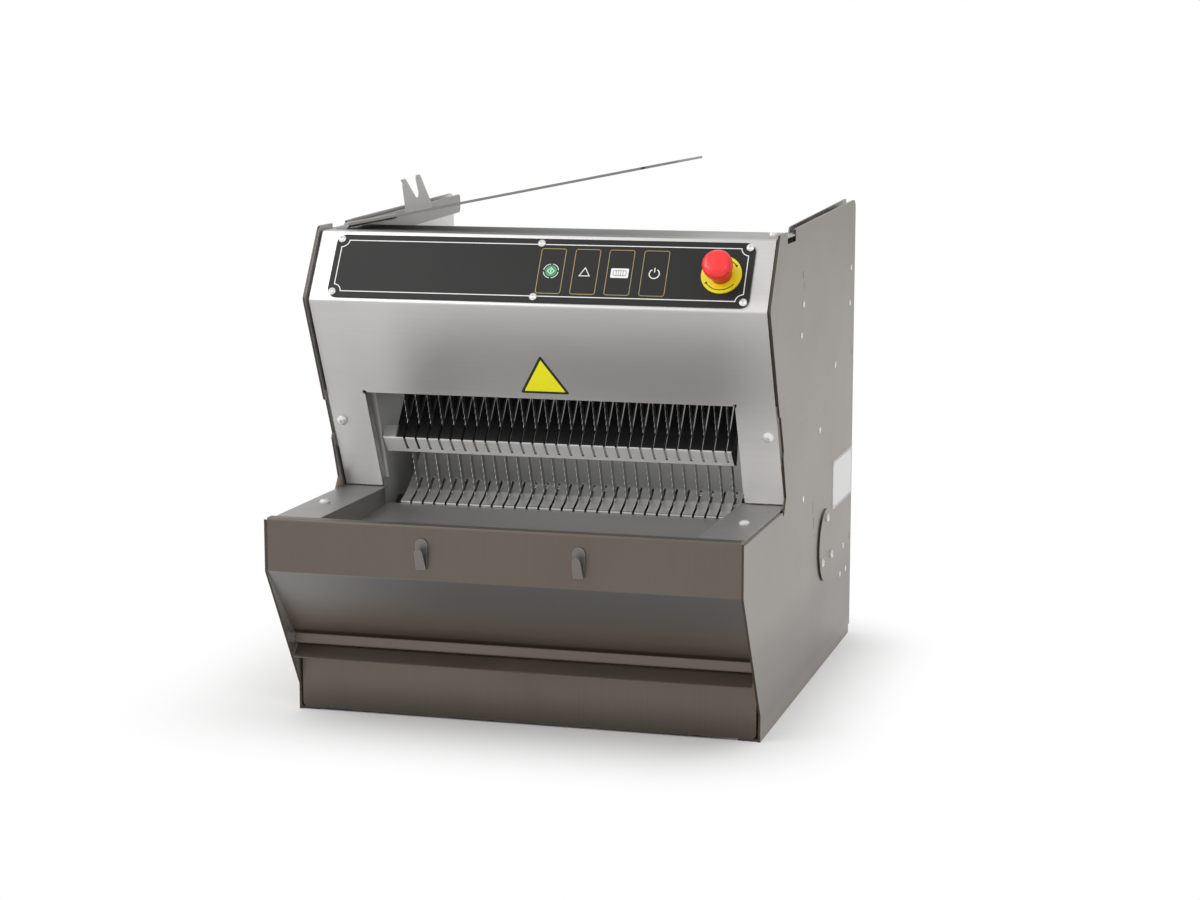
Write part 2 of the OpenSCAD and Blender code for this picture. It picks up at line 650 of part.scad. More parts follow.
// Blades: one toothed outline, cut from strip and repeated over the field
tooth_count = floor((beam_up + beam_down - 60) / tooth_pitch);
tooth_s0 = -beam_down + 30;
function tooth_edge(i) = let (s = tooth_s0 + i * tooth_pitch)
    [[-blade_w / 2 + tooth_depth, s + tooth_pitch * 0.2], [-blade_w / 2, s + tooth_pitch * 0.5],
     [-blade_w / 2 + tooth_depth, s + tooth_pitch * 0.8]];
blade_outline = concat([[-blade_w / 2 + tooth_depth, -beam_down - 6]],
    [for (i = [0:tooth_count - 1]) each tooth_edge(i)],
    [[-blade_w / 2 + tooth_depth, beam_up + 6], [blade_w / 2, beam_up + 6], [blade_w / 2, -beam_down - 6]]);
function blade_x(i) = first_blade_x + i * blade_pitch;
module blade_row(first) color("silver") on_blade_plane() for (i = [first:2:blade_count - 1])
    translate([blade_x(i) - blade_t / 2, 0, 0]) rotate([90, 0, 90])
        linear_extrude(blade_t) polygon(blade_outline);
module blades_a() blade_row(0);
module blades_b() blade_row(1);

// Blade frames: two beams with a clip for each blade, joined by side bars at their ends
side_bar_x0 = liner_x + liner_t / 2 + 2.5;
side_bar_t = 8;
clip_w = 5;
clip_h = 16;
joint_gap = 0.1;
function beam_y(side) = side > 0 ? beam_off : -beam_off - beam_b;
module blade_beams(side, first) color(steel) on_blade_plane() {
    bar_x = side_bar_x0 - joint_gap;
    for (s = [-beam_down, beam_up]) translate([-bar_x, beam_y(side), s - beam_h / 2])
        cube([2 * bar_x, beam_b, beam_h]);
    for (i = [first:2:blade_count - 1], s = [-beam_down, beam_up]) for (x = [-1, 1])
        translate([blade_x(i) + x * (blade_t / 2 + clip_w / 4) - clip_w / 4,
                   side > 0 ? -blade_w / 2 : -beam_off - 0.2, s - clip_h / 2])
            cube([clip_w / 2, blade_w / 2 + beam_off + 0.2, clip_h]);
}
module side_bars(side) color(steel) on_blade_plane() for (x = [-1, 1])
    translate([x > 0 ? side_bar_x0 : -side_bar_x0 - side_bar_t, beam_y(side), -beam_down - beam_h / 2])
        cube([side_bar_t, beam_b, beam_up + beam_down + beam_h]);
// Hanger plates under the lower beam, each with the drive pin of a connecting rod
module hangers(side) color(steel) on_blade_plane() for (x = hanger_x(side)) {
    translate([x, beam_y(side) - 1, -pin_s - hanger_t])
        cube([hanger_t, beam_b + 2, pin_s + hanger_t - beam_down - beam_h / 2 - joint_gap]);
    translate([x - pin_stub, beam_y(side) + beam_b / 2, -pin_s])
        rotate([0, 90, 0]) cylinder(d = pin_d, h = pin_stub + 0.2);
}
hanger_t = 8;
pin_s = beam_down + 58;
pin_d = 12;
pin_stub = 3;
function hanger_x(side) = side > 0 ? [-150, 190] : [-190, 150];
module blade_beams_a() blade_beams(-1, 0);
module blade_beams_b() blade_beams(1, 1);
module side_bars_a() side_bars(-1);
module side_bars_b() side_bars(1);
module hangers_a() hangers(-1);
module hangers_b() hangers(1);

// Guide rods, their end blocks on the side panels, and the frames' bushing blocks
rod_x = half_w - 22;
rod_n = beam_off + beam_b / 2;
rod_s0 = -beam_down - throw - 40;
rod_s1 = beam_up + throw + 4;
bush_len = 34;
bush_w = 24;
module rod_places() for (x = [-1, 1], n = [-1, 1]) on_blade_plane()
    translate([x * rod_x, n * (rod_n + 6), 0]) children();
module guide_rods() color("silver") rod_places()
    translate([0, 0, rod_s0]) cylinder(d = rod_d, h = rod_s1 - rod_s0);
block_h = 16;
module rod_blocks() color(dark_steel) for (x = [-1, 1], n = [-1, 1], s = [rod_s0, rod_s1 - block_h])
    on_blade_plane() difference() {
        translate([x > 0 ? rod_x - 10 : -inner_w + seat_c, n * (rod_n + 6) - 12, s])
            cube([inner_w - seat_c - rod_x + 10, 24, block_h]);
        translate([x * rod_x, n * (rod_n + 6), s - 1]) cylinder(d = rod_d, h = block_h + 2);
    }
module bushings(side) color("darkgoldenrod") on_blade_plane()
    for (x = [-1, 1], s = [-beam_down + 6, beam_up - bush_len - throw - 1]) difference() {
        xa = side_bar_x0 + side_bar_t;
        yc = side * (rod_n + 6);
        union() {
            translate([x > 0 ? xa : -rod_x, yc - bush_w / 2 + (side > 0 ? 0 : 4), s])
                cube([rod_x - xa, bush_w - 4, bush_len]);
            translate([x * rod_x, yc, s]) cylinder(d = bush_w, h = bush_len);
        }
        translate([x * rod_x, yc, s - 1]) cylinder(r = rod_d / 2 + run_c, h = bush_len + 2);
    }
module bushings_a() bushings(-1);
module bushings_b() bushings(1);

// Crankshaft with four eccentrics, two for each frame, half a turn apart
crank_s = (blade_z - crank_z) / cos(blade_tilt);
crank_y = blade_y + crank_s * sin(blade_tilt);
crank_c = [crank_y, crank_z];
shaft_x0 = -inner_w + 8;
shaft_x1 = inner_w - 8;
function ecc_centre(side) = crank_c + turn([side * throw, 0], blade_tilt);
function rod_x0(side, x) = x - pin_stub - 0.6 - rod_t;
module crankshaft() color("silver") {
    bar_across(crank_c, crank_d, shaft_x0, shaft_x1);
    for (side = [-1, 1], x = hanger_x(side))
        bar_across(ecc_centre(side), 2 * ecc_r, rod_x0(side, x) - 2, rod_x0(side, x) + rod_t - 0.6);
}
small_end_r = 11;
// Connecting rods: a big end round the eccentric, a small end beside the frame's pin
module con_rods(side) color(dark_steel) {
    c = ecc_centre(side);
    p = blade_point(side * rod_n, -pin_s);
    for (x = hanger_x(side)) {
        x0 = rod_x0(side, x);
        across(x0, x0 + rod_t - 1) difference() {
            union() {
                translate(c) circle(r = big_end_r);
                translate(p) circle(r = small_end_r);
                polygon([c + turn([-18, 26], blade_tilt), c + turn([18, 26], blade_tilt),
                         p + turn([8, -4], blade_tilt), p + turn([-8, -4], blade_tilt)]);
            }
            translate(c) circle(r = ecc_r + run_c);
            translate(p) circle(d = pin_d + 2 * run_c);
        }
    }
}
module con_rods_a() con_rods(-1);
module con_rods_b() con_rods(1);

// Flanged bearings that carry the crankshaft on the side panels
bearing_w = 24;
module crank_bearings() color(dark_steel) for (s = [-1, 1]) {
    x0 = s > 0 ? inner_w - seat_c - bearing_w : -inner_w + seat_c;
    difference() {
        across(x0, x0 + bearing_w) union() {
            translate(crank_c) circle(d = 56);
            translate(crank_c) square([88, 30], center = true);
        }
        bar_across(crank_c, crank_d + 2 * run_c, x0 - 1, x0 + bearing_w + 1);
        for (d = [-34, 34]) bar_across(crank_c + [d, 0], 9, x0 - 1, x0 + bearing_w + 1);
    }
}

// V-belt drive on the right
belt_x = half_w - 54;
belt_w = 13;
pulley_w = 20;
module pulley_profile(d, bore) {
    difference() {
        rotate_extrude() polygon([[bore / 2, 0], [d / 2 + 4, 0], [d / 2 + 4, 2.6], [d / 2 - 7, 6.6],
            [d / 2 - 7, pulley_w - 6.6], [d / 2 + 4, pulley_w - 2.6], [d / 2 + 4, pulley_w],
            [bore / 2, pulley_w]]);
        if (d > 100) for (a = [0:72:359]) rotate(a) translate([d * 0.27, 0, -1])
            cylinder(d = d * 0.19, h = pulley_w + 2);
    }
}
module pulley_at(p, d, bore) {
    translate([belt_x - pulley_w / 2, p[0] - body_d / 2, p[1]]) rotate([0, 90, 0])
        pulley_profile(d, bore);
}
module crank_pulley() color(dark_steel) pulley_at(crank_c, pulley_d, crank_d);
motor_c = [motor_y, motor_z];
module motor_pulley() color(dark_steel) {
    pulley_at(motor_c, motor_pulley_d, 18);
    bar_across(motor_c, 18, motor_x1 + 0.4, belt_x + pulley_w / 2);
}
belt_dist = norm(motor_c - crank_c);
belt_lean = asin((pulley_d - motor_pulley_d) / 2 / belt_dist);
belt_dir = unit(motor_c - crank_c);
function tangent_pt(c, r, up) = c + turn(belt_dir * r, up * (90 - belt_lean));
module belt_loop(grow) {
    ra = pulley_d / 2 + grow;
    rb = motor_pulley_d / 2 + grow;
    translate(crank_c) circle(r = ra, $fn = 96);
    translate(motor_c) circle(r = rb, $fn = 64);
    polygon([tangent_pt(crank_c, ra, 1), tangent_pt(motor_c, rb, 1),
             tangent_pt(motor_c, rb, -1), tangent_pt(crank_c, ra, -1)]);
}
module drive_belt() color(black) across(belt_x - belt_w / 2 + 2.4, belt_x + belt_w / 2 - 2.4) difference() {
    belt_loop(2.5);
    belt_loop(-5);
}

// Main motor on a slotted bed at the rear
motor_x1 = half_w - 160;
motor_x0 = motor_x1 - motor_len;
module main_motor() color(dark_steel) {
    bar_across(motor_c, motor_d - 12, motor_x0, motor_x1);
    for (a = [0:15:359]) across(motor_x0 + 34, motor_x1 - 22)
        translate(motor_c) rotate(a) translate([motor_d / 2 - 8, -1.6]) square([8, 3.2]);
    bar_across(motor_c, motor_d, motor_x0 - 14, motor_x0 + 26);
    bar_across(motor_c, motor_d, motor_x1 - 16, motor_x1);
    // terminal box and feet
    translate([motor_x0 + 60, motor_y - 46 - body_d / 2, motor_z + motor_d / 2 - 6]) cube([84, 92, 34]);
    for (x = [motor_x0 + 40, motor_x1 - 60]) translate([x, motor_y - 60 - body_d / 2, bed_z])
        difference() {
            cube([34, 120, motor_z - bed_z - motor_d / 2 + 22]);
            for (y = [12, 108]) translate([17, y, -1]) cylinder(d = 10, h = 60);
            translate([-1, 24, 9]) cube([36, 72, 6]);
        }
}
bed_z = 16;
module motor_bed() color(steel) {
    x0 = motor_x0 + 10;
    x1 = motor_x1 - 4;
    across(x0, x1) polygon(sheet_outline(bend_path(
        [[motor_y - 86, sheet_t + 0.1], [motor_y - 70, sheet_t + 0.1], [motor_y - 70, bed_z - seat_c - sheet_t],
         [motor_y + 70, bed_z - seat_c - sheet_t], [motor_y + 70, sheet_t + 0.1],
         [motor_y + 86, sheet_t + seat_c]], bend_r), sheet_t));
}

// Pusher: arms keyed to a low cross shaft, carrying a comb whose fingers pass between blades
pusher_c = [pusher_y, pusher_z];
arm_x = 243;
arm_t = 6;
function pusher_pt(r, a) = pusher_c + [r * cos(a), r * sin(a)];
module pusher_shaft() color("silver")
    bar_across(pusher_c, pusher_shaft_d, -inner_w + 5, inner_w - 5);
module pusher_arms() color(steel) for (s = [-1, 1]) across(s * arm_x - arm_t / 2, s * arm_x + arm_t / 2)
    difference() {
        union() {
            translate(pusher_c) circle(r = 24);
            polygon([pusher_pt(22, comb_park + 90), pusher_pt(22, comb_park - 90),
                     pusher_pt(comb_r0 + 20, comb_park - 3.4), pusher_pt(comb_r1, comb_park - 3.2),
                     pusher_pt(comb_r1, comb_park), pusher_pt(comb_r0 - 20, comb_park)]);
        }
        translate(pusher_c) circle(d = pusher_shaft_d);
        for (r = [60:45:195]) translate(pusher_pt(r, comb_park - 1)) circle(r = 11);
    }
finger_t = 4;
finger_a = 9;
finger_n = blade_count - 1;
module pusher_comb() color(steel) {
    // back plate between the arms, folded along its outer edge
    across(-arm_x + arm_t / 2 + 0.1, arm_x - arm_t / 2 - 0.1) polygon(sheet_outline(
        bend_path([pusher_pt(comb_r0 - 6, comb_park - 0.4), pusher_pt(comb_r1 - 1, comb_park - 0.4),
                   pusher_pt(comb_r1 - 1, comb_park - 3.2)], bend_r), -sheet_t));
}
// Fingers welded to the back plate, each between two blades
comb_face = [-sin(comb_park - 0.4), cos(comb_park - 0.4)] * joint_gap;
module pusher_fingers() color(steel) for (i = [0:finger_n - 1]) {
        x = first_blade_x + (i + 0.5) * blade_pitch;
        across(x - finger_t / 2, x + finger_t / 2) polygon(
            [pusher_pt(comb_r0, comb_park - 0.4) + comb_face,
             pusher_pt(comb_r1 - 8, comb_park - 0.4) + comb_face,
             pusher_pt(comb_r1 - 17, comb_park + finger_a - 1), pusher_pt(comb_r1 - 20, comb_park + finger_a),
             pusher_pt(comb_r0 + 9, comb_park + finger_a), pusher_pt(comb_r0 + 5, comb_park + finger_a - 1)]);
}
module pusher_bearings() color(dark_steel) for (s = [-1, 1]) {
    x0 = s > 0 ? inner_w - seat_c - 14 : -inner_w + seat_c;
    difference() {
        bar_across(pusher_c, 78, x0, x0 + 14);
        bar_across(pusher_c, pusher_shaft_d + 2 * run_c, x0 - 1, x0 + 15);
    }
}
// Round cover over the shaft end on the right panel
cover_disc_d = 102;
cover_disc_t = 2.5;
disc_pcd = 78;
disc_screws = [90, -30, 210];
module shaft_cover() color(steel) difference() {
    bar_across(pusher_c, cover_disc_d, half_w + 0.2, half_w + 0.2 + cover_disc_t);
    for (a = disc_screws) bar_across(pusher_c + disc_pcd / 2 * [cos(a), sin(a)], small_hole_d,
        half_w, half_w + 1 + cover_disc_t);
}

// Worm gear motor that swings the pusher, on the left end of its shaft
module pusher_gearmotor() color(dark_steel) {
    x0 = -inner_w + 18;
    difference() {
        union() {
            across(x0, x0 + 34) translate(pusher_c) polygon(rounded_poly(
                [[-38, -38], [52, -38], [52, 44], [-38, 44]], 8));
            translate([x0 + 17, pusher_y + 50 - body_d / 2, pusher_z - 22]) rotate([-90, 0, 0])
                cylinder(d = 34, h = 12);
            translate([x0 + 17, pusher_y + 60 - body_d / 2, pusher_z - 22]) rotate([-90, 0, 0])
                cylinder(d = 60, h = 120);
        }
        bar_across(pusher_c, pusher_shaft_d + 2 * run_c, x0 - 1, x0 + 36);
    }
}

// Hold-down: black slotted grate on a cross rod, with a folded nose bar along its lower edge
pivot = [grate_pivot_y, grate_pivot_z];
grate_dir = [-sin(grate_tilt), -cos(grate_tilt)];
grate_n = left_of(grate_dir);
grate_x0 = first_blade_x - 30;
grate_x1 = last_blade_x + 11;
grate_rod_d = 10;
hub_d = 18;
grate_slot_top = 14;
grate_end_t = 3;
nose_over = 17;
module hold_down_grate() color(black) difference() {
    union() {
        across(grate_x0 + nose_over, grate_x1) polygon([pivot + grate_n * grate_t / 2,
            pivot - grate_n * grate_t / 2,
            pivot + grate_dir * (grate_len - 5) - grate_n * grate_t / 2,
            pivot + grate_dir * (grate_len - 3) + grate_n * grate_t / 2]);
        bar_across(pivot, hub_d, grate_x0, grate_x1);
        across(grate_x1 - grate_end_t, grate_x1) polygon(
            [pivot + grate_dir * (grate_len - 30) + grate_n * grate_t / 2,
             pivot + grate_dir * (grate_len - 30) - grate_n * (grate_t / 2 + 3),
             pivot + grate_dir * (grate_len + 3) - grate_n * (grate_t / 2 + 3),
             pivot + grate_dir * (grate_len + 3) - grate_n * (grate_t / 2 + 3) + nose_dir * (nose_face + 3),
             pivot + grate_dir * (grate_len - 2) + grate_n * (grate_t / 2 + 14)]);
    }
    bar_across(pivot, grate_rod_d + 2 * run_c, grate_x0 - 1, grate_x1 + 1);
    for (i = [0:blade_count - 1]) across(blade_x(i) - slot_w / 2, blade_x(i) + slot_w / 2)
        polygon([pivot + grate_dir * grate_slot_top + grate_n * 20, pivot + grate_dir * grate_slot_top - grate_n * 20,
                 pivot + grate_dir * (grate_len + 20) - grate_n * 20,
                 pivot + grate_dir * (grate_len + 20) + grate_n * 20]);
}
nose_t = 1.5;
nose_seat = grate_n * (grate_t / 2 + nose_t + 0.15);
nose_top = pivot + grate_dir * (grate_len - 18) - nose_seat;
nose_tip = pivot + grate_dir * (grate_len + 1) - nose_seat;
nose_angle = 43;
nose_dir = [sin(nose_angle), -cos(nose_angle)];
nose_lip = [3.3, -4];
nose_profile = sheet_outline(bend_path(
    [nose_top, nose_tip, nose_tip + nose_dir * nose_face, nose_tip + nose_dir * nose_face + nose_lip],
    2.2, 3), nose_t);
module hold_down_nose() color(pale_steel) difference() {
    union() {
        across(grate_x0, grate_x1 - grate_end_t - joint_gap) polygon(nose_profile);
        across(grate_x0, grate_x0 + nose_t) hull() polygon(nose_profile);
    }
    for (i = [0:blade_count - 1]) across(blade_x(i) - slot_w / 2, blade_x(i) + slot_w / 2)
        polygon([nose_top - nose_seat - grate_dir, nose_top + nose_seat - grate_dir,
                 nose_tip + nose_dir * (nose_face - 1) + [10, 10], nose_tip + nose_dir * (nose_face - 1) - [10, 10],
                 nose_tip - [16, 0]]);
}
module hold_down_rod() color("silver") bar_across(pivot, grate_rod_d, -inner_w + 2, inner_w - 2);
module hold_down_brackets() color(dark_steel) for (s = [-1, 1]) difference() {
    x0 = s > 0 ? inner_w - seat_c - 10 : -inner_w + seat_c;
    bar_across(pivot, 30, x0, x0 + 10);
    bar_across(pivot, grate_rod_d + 0.04, x0 - 1, x0 + 11);
}

// Crumb drawer: bent front with a handle fold, and a tray
front_half = cover_half + 0.5;
drawer_z0 = 3.4;
handle_out = 29;
handle_shelf = 14;
handle_drop = 13;
drawer_top = apron_break_z - apron_band - sheet_t - drawer_gap;
module drawer_front() color(brown_steel) {
    difference() {
        across(-front_half, front_half) polygon(sheet_outline(bend_path(
            [[-handle_out, drawer_top - handle_drop], [-handle_shelf, drawer_top], [0, drawer_top],
             [0, drawer_z0]], bend_r), sheet_t));
        for (s = [-1, 1]) translate([s * front_half, -10 - body_d / 2, drawer_z0]) rotate([-90, 0, 0])
            difference() {
                cube([14, 14, 60], center = true);
                translate([-s * 7, -7, -31]) cylinder(r = 7, h = 62);
            }
    }
}
tray_half = half_w - 70;
tray_t = 1.5;
tray_z = 6.8;
module crumb_tray() color(steel) difference() {
    translate([-tray_half, sheet_t + 0.2 - body_d / 2, tray_z]) cube([2 * tray_half, tray_d, tray_h]);
    translate([-tray_half + tray_t, sheet_t + 0.2 + tray_t - body_d / 2, tray_z + tray_t])
        cube([2 * (tray_half - tray_t), tray_d - 2 * tray_t, tray_h]);
}
// Angle runners on the base that carry the tray
runner_h = 30;
module drawer_runners() color(steel) for (s = [-1, 1]) {
    xw = s * (tray_half + 2);
    translate([s > 0 ? xw : xw - 2, 20 - body_d / 2, sheet_t + seat_c]) cube([2, tray_d, runner_h]);
    translate([s > 0 ? xw - 16 : xw, 20 - body_d / 2, sheet_t + seat_c]) cube([16, tray_d, 4.2]);
}

// Flap on the top, hinged on the left, with the forked bag holder
hinge_x = -280;
hinge_z = 629.5;
flap_y0 = 119;
flap_t = 3;
knuckle_d = 7;
pin_r = 2;
module on_flap() translate([hinge_x, flap_y0 - body_d / 2, hinge_z]) rotate([0, -flap_angle, 0]) children();
flap_gap = 4.4;
tip_len = 42;
module top_flap() color(steel) on_flap() difference() {
    union() {
        translate([flap_gap, 0, -flap_t / 2]) cube([flap_len - flap_gap - tip_len, flap_d, flap_t]);
        for (y = [18, flap_d - 58]) translate([0, y, -flap_t / 2]) cube([flap_gap + 0.2, 40, flap_t]);
        translate([flap_len - tip_len - 0.2, 12, -flap_t / 2])
            linear_extrude(flap_t) polygon(rounded_poly([[0, 0], [tip_len * 0.6, 0],
                [tip_len, 24], [tip_len, flap_d - 24], [tip_len * 0.6, flap_d - 24 + 12], [0, flap_d - 12]], 6));
        for (y = [18, flap_d - 58]) translate([0, y, 0]) rotate([-90, 0, 0])
            cylinder(d = knuckle_d, h = 40);
    }
    translate([0, -1, 0]) rotate([-90, 0, 0]) cylinder(r = pin_r + run_c, h = flap_d + 2);
}
module flap_hinge() color(dark_steel) translate([hinge_x, flap_y0 - body_d / 2, hinge_z]) {
    rotate([-90, 0, 0]) cylinder(r = pin_r, h = flap_d);
    difference() {
        union() {
            for (y = [0, 58.6, flap_d - 17.4]) translate([0, y, 0]) rotate([-90, 0, 0])
                cylinder(d = knuckle_d, h = y > 50 && y < 100 ? flap_d - 117.2 : 17.4);
            for (y = [0, 58.6, flap_d - 17.4]) translate([-9, y, -hinge_z + crown_z + 0.7 + seat_c])
                cube([9, y > 50 && y < 100 ? flap_d - 117.2 : 17.4, 4]);
        }
        translate([0, -1, 0]) rotate([-90, 0, 0]) cylinder(r = pin_r, h = flap_d + 2);
    }
    translate([-15, 0, -hinge_z + crown_z + 0.7 + seat_c]) cube([8, flap_d, 2]);
}
fork_at = 62;
fork_w = 38;
fork_h = 46;
fork_y = 66;
module bag_fork() color(steel) on_flap() translate([fork_at, fork_y, flap_t / 2 + seat_c]) {
    rotate([90, 0, 0]) linear_extrude(2.5) polygon([[0, 0], [fork_w, 0], [fork_w, 4],
        [fork_w - 7.5, fork_h - 6], [fork_w - 9, fork_h], [fork_w - 14, fork_h], [fork_w - 15.5, fork_h - 5],
        [fork_w - 15, 22], [fork_w - 17, 17], [fork_w - 20, 16.5], [9, fork_h - 5], [7.5, fork_h - 2],
        [2, fork_h - 2], [1.5, fork_h - 5], [3, fork_h - 6.5], [2, fork_h - 13], [0, 4]]);
    translate([0, 0, 0]) cube([fork_w, 16, 2]);
}

// Visible fasteners: cover, chute, control plate and shaft cover screws
module panel_screws() color("silver") {
    for (s = [-1, 1]) {
        on_lower_face() translate([s * cover_screw_x, 0, cover_screw_rise]) rotate([90, 0, 0])
            translate([0, 0, 0.05]) button_screw(screw_head_d, 7.8, 12);
        translate([s * chute_screw_x, chute_screw_y - body_d / 2, chute_flange_z + 0.05])
            button_screw(screw_head_d, 7.8, sheet_t + 0.2);
    }
    on_upper_face() for (p = plate_screws) translate([p[0], -stop_face - 0.05, p[1]])
        rotate([90, 0, 0]) button_screw(10, 4, plate_t);
    for (a = disc_screws) translate([half_w + 0.25 + cover_disc_t, pusher_y + disc_pcd / 2 * cos(a) - body_d / 2,
        pusher_z + disc_pcd / 2 * sin(a)]) rotate([0, 90, 0]) button_screw(12, 4, cover_disc_t);
}

// Electrics box on the rear sheet and the cable gland beside it
box_w = 260;
box_d = 70;
box_h = 190;
box_z = 300;
box_rim = 3;
module electrics_box() color(dark_steel)
    translate([95 - half_w, body_d - 8 - sheet_t - seat_c - box_d - body_d / 2, box_z]) difference() {
        cube([box_w, box_d, box_h]);
        translate([box_rim, -1, box_rim]) cube([box_w - 2 * box_rim, box_rim, box_h - 2 * box_rim]);
    }
module cable_gland() color(black) translate([gland_x, body_d - 8 - body_d / 2, gland_z]) rotate([-90, 0, 0])
    difference() {
        union() {
            translate([0, 0, 0.2]) cylinder(d = 28, h = 5, $fn = 6);
            translate([0, 0, -12]) cylinder(d = 20, h = 13);
            translate([0, 0, 5]) cylinder(d1 = 24, d2 = 15, h = 2.8);
            translate([0, 0, -8.8]) cylinder(d = 27, h = 6.6, $fn = 6);
        }
        translate([0, 0, -13]) cylinder(d = 9, h = 40);
    }

left_side_panel();
right_side_panel();
base_plate();
rear_panel();
front_cover();
top_plate();
control_plate();
control_unit();
stop_collar();
stop_neck();
stop_head();
chute_apron();
chute_floor();
chute_walls();
bag_hooks();
slotted_floor();
floor_support();
bay_liners();
top_rails();
cover_brackets();
panel_screws();
shaft_cover();
guide_rods();
rod_blocks();
blade_beams_a();
side_bars_a();
hangers_a();
blades_a();
bushings_a();
blade_beams_b();
side_bars_b();
hangers_b();
blades_b();
bushings_b();
crankshaft();
crank_pulley();
crank_bearings();
con_rods_a();
con_rods_b();
main_motor();
motor_bed();
motor_pulley();
drive_belt();
pusher_shaft();
pusher_arms();
pusher_comb();
pusher_fingers();
pusher_bearings();
pusher_gearmotor();
hold_down_rod();
hold_down_grate();
hold_down_nose();
hold_down_brackets();
drawer_front();
crumb_tray();
drawer_runners();
top_flap();
bag_fork();
flap_hinge();
electrics_box();
cable_gland();
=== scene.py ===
import math

import bpy
from mathutils import Matrix, Vector


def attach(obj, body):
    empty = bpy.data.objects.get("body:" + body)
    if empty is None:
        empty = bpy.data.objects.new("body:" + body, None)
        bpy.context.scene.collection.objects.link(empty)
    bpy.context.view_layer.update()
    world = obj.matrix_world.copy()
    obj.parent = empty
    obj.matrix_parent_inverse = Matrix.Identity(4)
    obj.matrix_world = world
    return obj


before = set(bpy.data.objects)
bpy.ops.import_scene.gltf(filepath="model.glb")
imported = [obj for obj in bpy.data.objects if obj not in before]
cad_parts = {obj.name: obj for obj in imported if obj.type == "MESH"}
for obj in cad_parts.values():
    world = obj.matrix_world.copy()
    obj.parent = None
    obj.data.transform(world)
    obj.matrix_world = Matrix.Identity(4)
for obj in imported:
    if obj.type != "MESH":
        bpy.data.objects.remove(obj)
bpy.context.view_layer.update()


# Studio floor: pale board under the machine. It keeps the soft shadow and runs out into plain white within
# about 0.27 m, sooner on the right and behind. Its white is seen, mirrored and seen through, but lights
# nothing.
def feed(tree, node, inputs):
    for socket, value in inputs.items():
        if isinstance(value, bpy.types.NodeSocket):
            tree.links.new(value, node.inputs[socket])
        else:
            node.inputs[socket].default_value = value


def add_node(tree, kind, inputs=None, **settings):
    node = tree.nodes.new(kind)
    for setting, value in settings.items():
        setattr(node, setting, value)
    feed(tree, node, inputs or {})
    return node


def number_math(tree, operation, *values):
    return add_node(tree, "ShaderNodeMath", dict(enumerate(values)), operation=operation).outputs[0]


def vector_math(tree, operation, *values, result="Vector"):
    node = add_node(tree, "ShaderNodeVectorMath", dict(enumerate(values)), operation=operation)
    return node.outputs[result]


def seen_share(tree, mirrored_share):
    ray = add_node(tree, "ShaderNodeLightPath")
    mirrored = number_math(tree, "MULTIPLY", ray.outputs["Is Glossy Ray"], mirrored_share)
    seen = number_math(tree, "MAXIMUM", ray.outputs["Is Camera Ray"], mirrored)
    return number_math(tree, "MAXIMUM", seen, ray.outputs["Is Transmission Ray"])


floor_size = 14.0
board_tone = (0.86, 0.86, 0.86, 1)
plain_white = (1, 1, 1, 1)
shadow_middle = (-0.055, -0.059, 0)
shadow_half_size = (0.255, 0.259, 0)
fade_start = 0.03
fade_end = 0.27
bpy.ops.object.select_all(action="DESELECT")
bpy.ops.mesh.primitive_plane_add(size=floor_size, location=(0, 0, 0))
studio_floor = bpy.context.object
studio_floor.name = "studio_floor"
floor_board = bpy.data.materials.new("floor_board")
floor_board.use_nodes = True
floor_tree = floor_board.node_tree
floor_tree.nodes.clear()
place = add_node(floor_tree, "ShaderNodeTexCoord").outputs["Object"]
centred = vector_math(floor_tree, "SUBTRACT", place, shadow_middle)
folded = vector_math(floor_tree, "ABSOLUTE", centred)
beyond = vector_math(floor_tree, "SUBTRACT", folded, shadow_half_size)
outside = vector_math(floor_tree, "MAXIMUM", beyond, (0, 0, 0))
reach = vector_math(floor_tree, "LENGTH", outside, result="Value")
fade = add_node(floor_tree, "ShaderNodeMapRange",
                {"Value": reach, "From Min": fade_start, "From Max": fade_end},
                interpolation_type="SMOOTHSTEP")
white_share = number_math(floor_tree, "MULTIPLY", fade.outputs["Result"], seen_share(floor_tree, 1.0))
board = add_node(floor_tree, "ShaderNodeBsdfDiffuse", {"Color": board_tone})
glow = add_node(floor_tree, "ShaderNodeEmission", {"Color": plain_white})
floor_skin = add_node(floor_tree, "ShaderNodeMixShader",
                      {"Fac": white_share, 1: board.outputs["BSDF"], 2: glow.outputs["Emission"]})
add_node(floor_tree, "ShaderNodeOutputMaterial", {"Surface": floor_skin.outputs["Shader"]})
studio_floor.data.materials.append(floor_board)

# Room light: a white backdrop for the camera and, in part, for reflections, and a softer grey room that
# lights the machine, brighter above and on the operator's left than on the right.
bright_side = (-0.62, -0.25, 0.74)
dim_tone = (0.30, 0.295, 0.29, 1)
bright_tone = (0.98, 0.98, 0.98, 1)
backdrop_mirrored_share = 0.45
room = bpy.data.worlds.new("room")
bpy.context.scene.world = room
room.use_nodes = True
room_tree = room.node_tree
room_tree.nodes.clear()
direction = add_node(room_tree, "ShaderNodeTexCoord").outputs["Generated"]
lean = vector_math(room_tree, "DOT_PRODUCT", direction, bright_side, result="Value")
room_tone = add_node(room_tree, "ShaderNodeValToRGB",
                     {"Fac": number_math(room_tree, "MULTIPLY_ADD", lean, 0.5, 0.5)})
for stop, (position, tone) in zip(room_tone.color_ramp.elements, ((0.0, dim_tone), (1.0, bright_tone))):
    stop.position = position
    stop.color = tone
backdrop = add_node(room_tree, "ShaderNodeMix", data_type="RGBA")
feed(room_tree, backdrop, {"Factor": seen_share(room_tree, backdrop_mirrored_share),
                           "A": room_tone.outputs["Color"], "B": plain_white})
